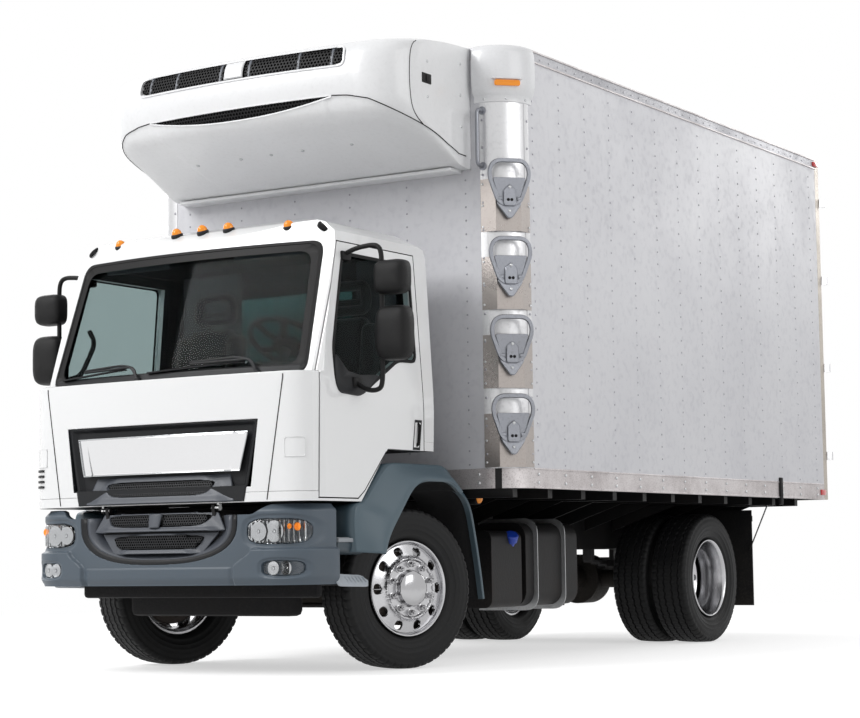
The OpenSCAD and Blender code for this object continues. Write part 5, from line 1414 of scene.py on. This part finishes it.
post_trim, caps, cap_screws, cap_lamps, brows = [], [], [], [], []
for sign in (1, -1):
    for start, end in ((0, 0.20), (math.pi / 2 - 0.20, math.pi / 2)):
        a = np.linspace(start, end, 6)
        outer, inner = (np.column_stack((BOX_HALF - POST_R + r * np.cos(a),
                                         BOX_FRONT + POST_R - r * np.sin(a)))
                        for r in (POST_R + 0.0025, POST_R - 0.002))
        loop = np.vstack((outer, inner[::-1]))
        post_trim.append(np.stack([np.column_stack((sign * loop[:, 0], loop[:, 1], np.full(12, z_)))
                                   for z_ in (1.095, 3.19)]))
    levels = ((3.165, 0.003), (3.168, 0.007), (3.200, 0.008), (3.206, 0.012), (3.225, 0.026), (3.27, 0.034),
              (3.33, 0.036), (3.40, 0.035), (3.450, 0.032), (3.478, 0.024), (3.492, 0.010), (3.496, -0.004))
    cap = []
    for z_, stand in levels:
        outer = round_the_post(sign, POST_R + stand, z_, 0.030)
        inner = round_the_post(sign, POST_R - 0.004, z_, 0.030)[::-1]
        cap.append(np.vstack((outer, inner)))
    caps.append(np.stack(cap))
    for angle in (0.16, math.pi / 4, math.pi / 2 - 0.16):
        out = np.array((sign * math.cos(angle), -math.sin(angle), 0))
        cap_screws += buttons([np.array((sign * (BOX_HALF - POST_R), BOX_FRONT + POST_R, 3.184))
                               + out * (POST_R + 0.007)], out, 0.008, 0.005, 8)
    out, run = np.array((sign * 0.7071, -0.7071, 0)), np.array((sign * 0.7071, 0.7071, 0))
    spot = np.array((sign * (BOX_HALF - POST_R), BOX_FRONT + POST_R, 3.268)) + out * (POST_R + 0.030)
    ring = outline_of(flat_bar(0.075, 0.0165), 0.012, 5)
    flat = spot + ring[:, :1] * run + ring[:, 1:] * np.array((0, 0, 1.0))
    cap_lamps.append(slab(flat, out * -0.004, out * 0.014, 0.004))
    brow = outline_of(((-0.09, 0.021), (0.09, 0.021), (0.09, 0.031), (-0.09, 0.031)), 0.004, 3)
    brows.append(slab(spot + brow[:, :1] * run + brow[:, 1:] * np.array((0, 0, 1.0)), out * -0.010,
                      out * 0.022, 0.003))
build("post edge strips", post_trim, post_aluminium, "chassis")
build("corner caps", caps, cap_white, "chassis", crease=40)
build("cap screws", cap_screws, zinc, "chassis")
build("cap brows", brows, cap_white, "chassis")
build("cap lamps", cap_lamps, marker_glass, "chassis", crease=40)
red_ends = []
for sign in (1, -1):
    red_ends.append(block_at(sign * 1.303, 0.010, (5.985, 6.070), (3.440, 3.475), 0.006))
    red_ends.append(block_at(sign * 1.303, 0.006, (5.955, 6.045), (1.010, 1.050), 0.004))
lens_red = finish("red lens", (0.55, 0.008, 0.010), 0.12, amount=0.05, depth=0.0, coat=0.6)
build("side red lamps", red_ends, lens_red, "chassis")
latches = [block_at(sign * 1.302, 0.012, (5.195, 5.245), (0.930, 1.120), 0.008) for sign in (1, -1)]
build("side latches", latches, liner_black, "chassis")


# ---- climbing steps and grab handle --------------------------------------------
# Four cast folding steps up the left front post, each on a faceted backing plate,
# and a steel grab handle beside the cooling unit.
plate_brown = finish("backing plate", (0.40, 0.365, 0.345), 0.24, metallic=0.85, dust=(0.22, 0.19, 0.17),
                     amount=0.22, height=6.0, depth=0.03, stretch=(30, 30, 4))
cast_grey = finish("cast alloy step", (0.27, 0.28, 0.31), 0.34, metallic=0.8, amount=0.15, height=5.0,
                   stretch=220, depth=0.2)
corner = np.array((BOX_HALF - POST_R, BOX_FRONT + POST_R, 0))
step_out, step_run = np.array((0.7071, -0.7071, 0)), np.array((0.7071, 0.7071, 0))
up = np.array((0, 0, 1.0))


def on_post(across, out, z):
    """A point by the post's middle line: across it, out from its surface, at a height."""
    across, out, z = np.broadcast_arrays(np.asarray(across, float), out, z)
    return corner + across[..., None] * step_run + (POST_R + out)[..., None] * step_out + z[..., None] * up


plates, plate_screws, rings, feet, dark_pins = [], [], [], [], []
for index in range(4):
    z0 = 1.245 + 0.443 * index
    front_line = ((-0.143, -0.054), (-0.074, 0.014), (0.074, 0.014), (0.143, -0.054))
    a_, o_ = np.array(front_line + tuple((a_, o_ - 0.012) for a_, o_ in front_line[::-1])).T
    plates.append(np.stack([on_post(a_, o_, z_) for z_ in (z0 - 0.150, z0 + 0.150)]))
    for z_ in (z0 - 0.122, z0, z0 + 0.122):
        for across in (-0.134, 0.134):
            axis = step_out * 0.70 + step_run * math.copysign(0.70, across)
            plate_screws += buttons([on_post(across, -0.045, z_)], axis, *SCREW)
    ring = eased(((-0.058, -0.004), (-0.122, 0.170), (-0.092, 0.246), (0.092, 0.246), (0.122, 0.170),
                  (0.058, -0.004)), 0.050, 8, closed=True)
    stand = 0.034 + 0.06 * ring[:, 1]
    rings.append(carried(on_post(ring[:, 0], stand, z0 + ring[:, 1]),
                         ((-0.010, -0.009), (0.010, -0.009), (0.013, 0.001), (0.009, 0.010), (-0.009, 0.010),
                          (-0.013, 0.001)), step_out))
    web = outline_of(((-0.098, 0.150), (0.098, 0.150), (0.056, 0.002), (-0.056, 0.002)), 0.014, 4)
    rings.append(slab(on_post(web[:, 0], 0.030 + 0.06 * web[:, 1], z0 + web[:, 1]), (0, 0, 0),
                      step_out * 0.008, 0.003))
    bracket = outline_of(((-0.036, -0.012), (0.036, -0.012), (0.036, 0.078), (0.0, 0.112), (-0.036, 0.078)),
                         0.012, 4)
    rings.append(slab(on_post(bracket[:, 0], 0.038, z0 + bracket[:, 1]), (0, 0, 0), step_out * 0.016, 0.004))
    rings.append(slab(on_post(web[:, 0] * 0.9, 0.012, z0 + web[:, 1] * 0.8), (0, 0, 0), step_out * 0.018,
                      0.003))
    toe = outline_of(((-0.074, 0.012), (0.074, 0.012), (0.066, -0.010), (0.014, -0.082), (-0.014, -0.082),
                      (-0.066, -0.010)), 0.012, 4)
    feet.append(slab(on_post(toe[:, 0], 0.022 + 0.12 * (0.012 - toe[:, 1]), z0 + toe[:, 1]), (0, 0, 0),
                     step_out * 0.016, 0.006))
    dark_pins += buttons([on_post(x_, 0.054, z0 + 0.022) for x_ in (-0.010, 0.010)], step_out, 0.009, 0.004,
                         8)
    for out, high in ((0.054, 0.094), (0.045, -0.040)):
        plate_screws += buttons([on_post(0.0, out, z0 + high)], step_out, 0.009, 0.006, 10)
    for across in (-0.056, 0.056):
        rings.append(turned(((0.012, -0.012), (0.012, 0.012)), on_post(across, 0.036, z0 + 0.030), step_run,
                            14))
build("step plates", plates, plate_brown, "chassis")
build("step plate screws", plate_screws, zinc, "chassis")
build("folding step rings", rings, cast_grey, "chassis", "folding_steps", crease=40)
build("folding step feet", feet, cast_grey, "chassis", crease=40)
build("folding step pins", dark_pins, liner_black, "chassis")
bar = eased(((1.118, 1.548, 2.800), (1.118, 1.490, 2.800), (1.118, 1.490, 3.120), (1.118, 1.548, 3.120)),
            0.035, 8)
handle_parts = [carried(bar, circle(0.011, 12), (1, 0, 0))]
handle_parts += [turned(((0.024, 0.0), (0.024, 0.005), (0.014, 0.008)), (1.118, 1.550, z_), (0, -1, 0), 20)
                 for z_ in (2.800, 3.120)]
build("grab handle", handle_parts, cast_grey, "chassis", crease=40)


# ---- cooling unit ---------------------------------------------------------------
# A white moulded shell on the box's front wall: a blunt rounded nose over a sloping
# underside, with a wide honeycomb intake on top and a crescent outlet below it.
UNIT_PROFILE = ((1.545, 2.790), (1.490, 2.790), (1.370, 2.802), (1.100, 2.900), (0.800, 3.000),
                (0.735, 3.040), (0.705, 3.100), (0.690, 3.200), (0.694, 3.300), (0.710, 3.375),
                (0.760, 3.425), (0.930, 3.456), (1.150, 3.474), (1.500, 3.487), (1.545, 3.488))
UNIT_FLAT, UNIT_CORNER, UNIT_DEEP, UNIT_BOW = 0.780, 0.260, 0.860, 0.060
SEAM_U, SEAM_Z = (0.640, 0.740, 0.860, 1.070, 1.250, 1.400, 1.600), (3.126, 3.118, 3.090, 2.990, 2.900, 2.862,
        2.858)
unit_white = finish("unit shell", (0.76, 0.765, 0.775), 0.38, amount=0.05, height=6.0, scale=1.4, depth=0.02,
                    stretch=90, coat=0.35)
unit_black = finish("unit grille", (0.010, 0.010, 0.011), 0.5, amount=0.05, height=5.0, depth=0.0, **DULL)
divider_grey = finish("intake divider", (0.10, 0.11, 0.13), 0.4, amount=0.05, height=5.0)
unit_line = evenly(eased(UNIT_PROFILE, 0.040, 5), 260)


def unit_plan(u):
    """x and depth behind the nose, an arc's length u from the middle: bowed front, corner, side."""
    far, arc_length = np.abs(u), UNIT_CORNER * math.pi / 2
    corner_turn = np.clip((far - UNIT_FLAT) / UNIT_CORNER, 0, math.pi / 2)
    x_ = np.minimum(far, UNIT_FLAT) + UNIT_CORNER * np.sin(corner_turn)
    depth_behind = (UNIT_BOW * (np.minimum(far, UNIT_FLAT) / UNIT_FLAT) ** 2
                    + UNIT_CORNER * (1 - np.cos(corner_turn)) + np.maximum(far - UNIT_FLAT - arc_length, 0))
    return np.sign(u) * x_, depth_behind


def unit_shell(u, front, z, stand=0.0):
    """The shell's point where its middle profile has (front, z): front + (wall - front) * depth / deepest."""
    u, front, z = np.broadcast_arrays(np.asarray(u, float), front, z)
    x_, depth_behind = unit_plan(u)
    share = np.clip(depth_behind / UNIT_DEEP, 0, 1)
    s_ = front + (1.550 - front) * share
    hug = np.clip((np.abs(u) - UNIT_FLAT) / (UNIT_CORNER * math.pi / 2), 0, 1)
    return np.stack((x_ + np.sign(u) * stand * hug, s_ - stand * (1 - hug), z), -1)


def unit_at(u, z, stand=0.0):
    """The shell's point at a height on its nose's upper part."""
    nose = unit_line[unit_line[:, 1] > 2.80]
    order = np.argsort(nose[:, 1])
    return unit_shell(u, np.interp(z, nose[order, 1], nose[order, 0]), z, stand)


u = np.linspace(-1.7285, 1.7285, 330)[None, :]
front, z = unit_line[:, :1], unit_line[:, 1:]
upper_grille = round_mask(u, z, (0, 3.3440), (0.716, 0.0560), 6, 0.10) * (front < 1.0)
crescent_foot = 3.060 + 0.060 * np.clip(np.abs(u) / 0.637, 0, 1) ** 2.2
crescent = (smooth(0, 0.006, z - crescent_foot) * smooth(0, 0.006, 3.126 - z)
            * smooth(0, 0.012, 0.640 - np.abs(u)) * (front < 1.0))
step_line = smooth(0.0, 0.012, np.interp(np.abs(u), SEAM_U, SEAM_Z) - 0.003 - z) * (np.abs(u) > 0.60)
sunk = -0.030 * upper_grille - 0.030 * crescent - 0.005 * step_line
grid = unit_shell(u, front, z, sunk)
panel("unit shell", grid, [unit_white, unit_black], "chassis", 0.006, (0, -1, 0),
      (upper_grille > 0.5) | (crescent > 0.5), "refrigeration_unit", crease=40)


def in_upper(u_, v_):
    """True in the intake's rounded box, except behind its centre plate."""
    return abs(u_ / 0.708) ** 6 + abs((v_ - 3.3440) / 0.052) ** 6 < 1 and abs(u_) > 0.070


def in_crescent(u_, v_):
    """True between the outlet's straight head and its foot, which rises as |u|^2.2."""
    return 3.064 + 0.060 * min(abs(u_) / 0.637, 1) ** 2.2 < v_ < 3.122 and abs(u_) < 0.632


def sink_in(u_, v_, depth):
    """On the shell, sunk by a fixed step and then by depth."""
    return unit_at(u_, v_, -0.006 - depth)


build("intake mesh", honeycomb(in_upper, sink_in, (-0.72, 3.286), (0.72, 3.402), 0.021, 0.0042, 0.012),
      unit_black, "chassis", crease=20)
build("outlet mesh", honeycomb(in_crescent, sink_in, (-0.64, 3.060), (0.64, 3.126), 0.021, 0.0042, 0.012),
      unit_black, "chassis", crease=20)
rim_path = eased(((0.724, 3.286), (-0.724, 3.286), (-0.716, 3.402), (0.716, 3.402)), 0.040, 6, closed=True)
rim_u = evenly(rim_path, 220)
rims = [carried(unit_at(rim_u[:, 0], rim_u[:, 1], 0.002), ((-0.005, -0.004), (0.005, -0.004), (0.005, 0.005),
        (-0.005, 0.005)), (0, -1, 0))]
crescent_x = np.linspace(0.640, -0.640, 120)
crescent_line = np.column_stack((crescent_x, 3.060 + 0.060 * (np.abs(crescent_x) / 0.640) ** 2.2))
crescent_loop = np.vstack((crescent_line, crescent_line[::-1] * (1, 0) + (0, 3.127), crescent_line[:1]))
rims.append(carried(unit_at(crescent_loop[:, 0], crescent_loop[:, 1], -0.001),
                    ((-0.004, -0.006), (0.004, -0.006), (0.004, 0.005), (-0.004, 0.005)), (0, -1, 0)))
dividers = []
for x_ in (-0.640, -0.430, -0.100, 0.100, 0.430, 0.640):
    divider_line = np.column_stack((np.full(8, x_), np.linspace(3.290, 3.398, 8)))
    dividers.append(carried(unit_at(divider_line[:, 0], divider_line[:, 1], -0.010),
                            ((-0.012, -0.003), (0.012, -0.003), (0.007, 0.004), (-0.007, 0.004)), (0, -1, 0)))
plate_u, plate_z = np.meshgrid(np.linspace(-0.066, 0.066, 16), np.linspace(3.296, 3.396, 12))
build("intake rim", rims, unit_white, "chassis", crease=40)
build("intake dividers", dividers, divider_grey, "chassis", crease=40)
panel("intake centre plate", unit_at(plate_u, plate_z, 0.002 + 0.006 * round_mask(plate_u, plate_z,
        (0, 3.346), (0.062, 0.048), 6, 0.2)), unit_white, "chassis", 0.004, (0, -1, 0))
unit_seams = []
for sign in (1, -1):
    far = np.linspace(0.640, 1.58, 70)
    drop = np.interp(far, SEAM_U, SEAM_Z)
    unit_seams.append(carried(unit_at(sign * far, drop, 0.0005), circle(0.0030, 6), (0, 0, 1)))
    up_side = np.linspace(2.975, 3.43, 40)
    unit_seams.append(carried(unit_at(np.full(40, sign * 1.110), up_side, 0.0), circle(0.0026, 6),
                              (0, -1, 0)))
build("unit seams", unit_seams, rubber, "chassis")
unit_bolts, unit_latches = [], []
for x_ in (-0.55, -0.22, 0.0, 0.22, 0.55):
    unit_bolts += buttons([unit_shell(x_, 1.050, 2.9165, 0.0)], (0, -0.35, -0.94), 0.011, 0.006, 8)
for sign in (1, -1):
    for z_ in (3.02, 3.20, 3.38):
        unit_bolts += buttons([unit_at(sign * 1.62, z_, 0.0)], (sign, 0, 0), 0.009, 0.004, 8)
    for z_ in (3.130, 3.330):
        unit_bolts += buttons([unit_at(sign * 1.270, z_, 0.0)], (sign, 0, 0), 0.009, 0.004, 8)
    spot = unit_at(sign * 1.265, 3.232, 0.0)
    unit_latches.append(rounded_block(spot - (0.005, 0.046, 0.028), spot + (0.005, 0.046, 0.028), 0.004))
    unit_latches.append(rounded_block(spot + (sign * 0.007 - 0.004, -0.012, -0.020),
                                      spot + (sign * 0.007 + 0.004, 0.024, 0.020), 0.003))
build("unit bolts", unit_bolts, zinc, "chassis")
build("unit latches", unit_latches, unit_black, "chassis")
build("unit flange", [rounded_block((-0.98, 1.420, 2.772), (0.98, 1.549, 2.792), 0.005)], unit_white,
      "chassis")


# ---- cab interior ---------------------------------------------------------------
# A grained dashboard with vents and a hooded instrument pod, two sprung cloth seats
# with headrests, a four-part steering wheel, visors and a lighter rear panel.
def leaned(block, lean=0.115):
    """The block sheared back as it rises over the cushion."""
    block = np.array(block)
    block[..., 1] += lean * np.maximum(block[..., 2] - 1.46, 0)
    return block


# These interior finishes are near black: partly their own dark colours and partly painted shade inside the
# cab.
dash_grain = finish("dash grain", (0.012, 0.0125, 0.0135), 0.62, amount=0.04, depth=0.30, stretch=420, **DULL)
trim_grey = finish("interior grey", (0.075, 0.080, 0.088), 0.7, amount=0.04, depth=0.20, stretch=300, **DULL)
seat_cloth = finish("seat cloth", (0.014, 0.0145, 0.016), 0.85, amount=0.05, depth=0.35, stretch=700,
                    Sheen_Weight=0.3, **DULL)
wheel_grip = finish("wheel grip", (0.008, 0.008, 0.0085), 0.5, amount=0.03, depth=0.2, stretch=500, **DULL)
gauge_glass = finish("gauge face", (0.012, 0.014, 0.018), 0.1, amount=0.02, depth=0.0, coat=0.6)
dressed("dashboard", dash_grain, "cab", 0.014, 24)
pod, slots, knobs = [], [], []
hood = rounded_block((0.285, 0.330, 1.545), (0.655, 0.455, 1.640), 0.030, 5)
pod.append(hood)
pod.append(rounded_block((-0.16, 0.405, 1.330), (0.16, 0.470, 1.520), 0.020, 4))
for x_ in (-0.68, -0.36, 0.16, 0.76):
    pod.append(block_at(x_, 0.075, (0.420, 0.462), (1.462, 1.532), 0.010))
    for z_ in (1.478, 1.492, 1.506, 1.520):
        slots.append(block_at(x_, 0.062, (0.455, 0.472), (z_ - 0.003, z_ + 0.003), 0.002, 2))
for x_ in (-0.10, 0.0, 0.10):
    knobs.append(turned(((0.022, 0.0), (0.022, 0.012), (0.018, 0.020), (0.004, 0.021)), (x_, 0.468, 1.400),
                        (0, 1, 0), 20))
pod.append(rounded_block((-0.145, 0.462, 1.440), (0.145, 0.476, 1.500), 0.006))
build("dash pods", pod, dash_grain, "cab", crease=40)
build("dash vents", slots, trim_grey, "cab")
build("dash knobs", knobs, trim_grey, "cab")
build("gauge panel", [rounded_block((0.305, 0.448, 1.560), (0.635, 0.462, 1.625), 0.008)], gauge_glass, "cab")
cushions, piping, seat_frames = [], [], []
for x_ in (0.470, -0.470):
    cushions.append(block_at(x_, 0.160, (0.650, 1.120), (1.350, 1.464), 0.040, 6))
    cushions.append(leaned(block_at(x_, 0.150, (1.005, 1.100), (1.450, 1.940), 0.040, 6)))
    for sign in (1, -1):
        cushions.append(block_at(x_ + sign * 0.190, 0.042, (0.650, 1.120), (1.352, 1.484), 0.038, 6))
        cushions.append(leaned(block_at(x_ + sign * 0.182, 0.046, (0.985, 1.105), (1.450, 1.900), 0.040, 6)))
        side_line = eased([(x_ + sign * 0.226, b_, z_) for b_, z_ in ((0.66, 1.40), (1.10, 1.41),
                (1.155, 1.88))], 0.05)
        piping.append(carried(side_line, circle(0.005, 6), (1, 0, 0)))
        seat_frames.append(carried([(x_ + sign * 0.060, 1.150, 1.930), (x_ + sign * 0.060, 1.155, 2.010)],
                                   circle(0.007, 8), (1, 0, 0)))
    head = eased(((x_ - 0.125, 1.985), (x_ + 0.125, 1.985), (x_ + 0.115, 2.125), (x_ - 0.115, 2.125)), 0.045,
                 7, closed=True)
    ring_line = np.column_stack((head[:, 0], 1.128 + 0.05 * (head[:, 1] - 1.985), head[:, 1]))
    cushions.append(carried(ring_line, circle(1.0, 16) * (0.030, 0.034), (0, 1, 0)))
    cushions.append(block_at(x_, 0.11, (1.118, 1.150), (2.000, 2.050), 0.014, 4))
    seat_frames.append(block_at(x_, 0.150, (0.720, 1.100), (1.250, 1.350), 0.010))
    seat_frames.append(carried([(x_ + 0.250, 0.93, 1.42), (x_ + 0.255, 1.02, 1.50)], circle(0.012, 8),
                               (1, 0, 0)))
build("seat cushions", cushions, seat_cloth, "cab", "seats", crease=60)
build("seat piping", piping, trim_grey, "cab")
build("seat frames", seat_frames, dash_grain, "cab")
wheel_joint = next(j for j in frame["joints"] if j["name"] == "steering_wheel_turn")
wheel_at, wheel_axis = np.array(wheel_joint["pos_m"], float) - (0, NOSE, 0), np.array(wheel_joint["axis"],
        float)
wheel_axis = wheel_axis * math.copysign(1, wheel_axis[2])
wheel_side = np.array((1.0, 0, 0))
wheel_up = np.cross(wheel_axis, wheel_side)
turns = np.linspace(0, 2 * math.pi, 73)
rim_ring = wheel_at + 0.215 * (np.cos(turns)[:, None] * wheel_side + np.sin(turns)[:, None] * wheel_up)
wheel_parts = [carried(rim_ring, circle(0.0145, 12), wheel_axis)]
for a_ in (0.15, math.pi - 0.15, 1.5 * math.pi - 0.45, 1.5 * math.pi + 0.45):
    out = math.cos(a_) * wheel_side + math.sin(a_) * wheel_up
    wheel_parts.append(carried([wheel_at - wheel_axis * 0.022 + out * 0.04,
                                wheel_at - wheel_axis * 0.018 + out * 0.13,
                                wheel_at - wheel_axis * 0.002 + out * 0.210],
                               ((-0.020, -0.006), (0.020, -0.006), (0.016, 0.006), (-0.016, 0.006)),
                               wheel_axis))
wheel_parts.append(turned(((0.075, -0.045), (0.082, -0.020), (0.078, 0.004), (0.060, 0.014), (0.030, 0.018),
                           (0.003, 0.019)), wheel_at, wheel_axis, 32))
wheel_parts.append(turned(((0.026, -0.110), (0.030, -0.045), (0.020, -0.020)), wheel_at, wheel_axis, 24))
build("steering wheel rim", wheel_parts, wheel_grip, "steering_wheel", "steering_wheel",
      crease=50)
column_foot = np.array((0.470, 0.455, 1.560))
shroud = carried([wheel_at - wheel_axis * 0.118, wheel_at - wheel_axis * 0.155, column_foot],
                 circle(0.045, 16), (1, 0, 0))
stalks = [carried([wheel_at - wheel_axis * 0.135 + wheel_side * s_ * 0.03,
                   wheel_at - wheel_axis * 0.115 + wheel_side * s_ * 0.165], circle(0.007, 8), wheel_axis)
          for s_ in (1, -1)]
build("steering column", [shroud] + stalks, dash_grain, "cab", crease=40)
visors = [block_at(x_, 0.230, (0.405, 0.430), (2.205, 2.330), 0.010, 4) for x_ in (0.45, -0.45)]
build("sun visors", visors, trim_grey, "cab")
rear_trim = [rounded_block((-0.757, 1.182, 1.800), (-0.326, 1.196, 2.270), 0.006, 3),
             rounded_block((0.490, 1.182, 1.800), (0.757, 1.196, 2.270), 0.006, 3)]
build("rear wall trim", rear_trim, trim_grey, "cab")


# ---- rear doors and lamps ---------------------------------------------------------
# Two white insulated doors on four straps each, with full-height locking bars, cam
# keepers, swinging handles and black gaskets; lamps in three colours on the sill.
def on_face(middles, normals):
    """True for the straps, bars and keepers that stand off the doors' outer face."""
    return (middles[:, 1] > BOX_REAR + 0.001) | (np.abs(middles[:, 0]) > 1.215)


bright_bar = finish("zinc locking bar", (0.66, 0.66, 0.67), 0.28, metallic=0.95, amount=0.12, height=5.0,
                    stretch=(400, 400, 8), depth=0.05)
for side_name, sign in SIDES:
    body_name = "rear_door_" + side_name
    # The doors take the panel finish, with its painted shade.
    split_dressed(body_name, panel_white_painted_shade, bright_bar, on_face, body_name, 0.002, 28)
    loop = eased([(sign * x_, BOX_REAR - 0.004, z_) for x_, z_ in ((0.018, 1.108), (1.172, 1.108),
            (1.172, 3.308), (0.018, 3.308))], 0.03, 5, closed=True)
    build("door gasket " + side_name, [carried(loop, ((-0.009, -0.006), (0.009, -0.006), (0.006, 0.007),
            (-0.006, 0.007)), (0, 1, 0))], rubber, body_name)
    hardware, screws = [], []
    for x_ in (0.170, 0.620):
        for z_, corner_turn in ((1.118, -1), (3.298, 1)):
            hardware.append(block_at(sign * x_, 0.030, (BOX_REAR + 0.004, BOX_REAR + 0.040),
                                     (z_ - 0.016, z_ + 0.016), 0.006))
            hardware.append(turned(((0.019, -0.03), (0.021, 0.0), (0.019, 0.03)),
                                   (sign * x_, BOX_REAR + 0.020, z_ - corner_turn * 0.045), (0, 0, 1), 16))
        for z_ in (1.210, 1.800, 2.400, 3.202):
            for dx in (-0.022, 0.022):
                screws += buttons([(sign * x_ + dx, BOX_REAR + 0.018, z_ + dz) for dz in (-0.011, 0.011)],
                                  (0, 1, 0), 0.0065, 0.005, 6)
    grip = eased([(sign * 0.170, BOX_REAR + 0.032, 1.515), (sign * 0.300, BOX_REAR + 0.032, 1.515),
                  (sign * 0.460, BOX_REAR + 0.034, 1.500)], 0.03)
    hardware.append(carried(grip, flat_bar(0.007, 0.014), (0, 1, 0)))
    hardware.append(block_at(sign * 0.430, 0.035, (BOX_REAR + 0.001, BOX_REAR + 0.040), (1.455, 1.490),
                             0.008))
    for z_ in (1.300, 1.950, 2.600, 3.180):
        for x_ in (1.045, 1.105, 1.160):
            screws += buttons([(sign * x_, BOX_REAR + 0.018, z_ + dz) for dz in (-0.016, 0.016)], (0, 1, 0),
                              0.008, 0.006, 8)
    for z_ in rivet_rows[2:-2]:
        for x_ in (0.400, 0.880):
            screws += buttons([(sign * x_, BOX_REAR, z_)], (0, 1, 0), *RIVET)
    build("door hardware " + side_name, hardware, bright_bar, body_name, crease=40)
    build("door screws " + side_name, screws, rivet_grey, body_name)
lamp_black = finish("lamp housing", (0.014, 0.014, 0.015), 0.45, amount=0.15, **DULL)
lens_amber = finish("amber lens", (0.85, 0.24, 0.01), 0.12, amount=0.05, depth=0.0, coat=0.6)
lens_clear = finish("clear lens", (0.72, 0.73, 0.74), 0.08, amount=0.05, depth=0.0, coat=0.6)
housings, lenses = [], {lens_red: [], lens_amber: [], lens_clear: []}
for sign in (1, -1):
    housings.append(block_at(sign * 0.940, 0.180, (BOX_REAR, BOX_REAR + 0.020), (0.994, 1.074), 0.006))
    for colour, low_x, high_x in ((lens_red, 0.770, 0.900), (lens_clear, 0.906, 0.985),
                                  (lens_amber, 0.991, 1.110)):
        middle, half_x = (low_x + high_x) / 2, (high_x - low_x) / 2
        lenses[colour].append(rounded_block((sign * middle - half_x, BOX_REAR + 0.014, 1.001),
                                            (sign * middle + half_x, BOX_REAR + 0.028, 1.067), 0.007, 4))
        for dx in np.linspace(-half_x + 0.012, half_x - 0.012, 9):
            lenses[colour].append(block_at(sign * middle + dx, 0.0025, (BOX_REAR + 0.026, BOX_REAR + 0.0295),
                                           (1.007, 1.061), 0.0012, 2))
    lenses[lens_red].append(turned(((0.022, 0.0), (0.022, 0.006), (0.016, 0.010), (0.003, 0.011)),
                                   (sign * 1.22, BOX_REAR, 3.40), (0, 1, 0), 24))
build("tail lamp housings", housings, lamp_black, "chassis", "tail_lights")
for colour, parts in lenses.items():
    build("tail " + colour.name, parts, colour, "chassis", crease=40)
sill = [rounded_block((-1.19, BOX_REAR - 0.004, 1.078), (1.19, BOX_REAR + 0.008, 1.092), 0.003)]
for sign in (1, -1):
    sill += buttons([(sign * 1.245, BOX_REAR, z_) for z_ in np.arange(1.15, 3.40, 0.24)], (0, 1, 0), 0.008,
                    0.005, 8)
sill += buttons([(x_, BOX_REAR, 3.405) for x_ in np.arange(-1.1, 1.11, 0.2)], (0, 1, 0), 0.008, 0.005, 8)
build("rear sill and screws", sill, frame_tan, "chassis")
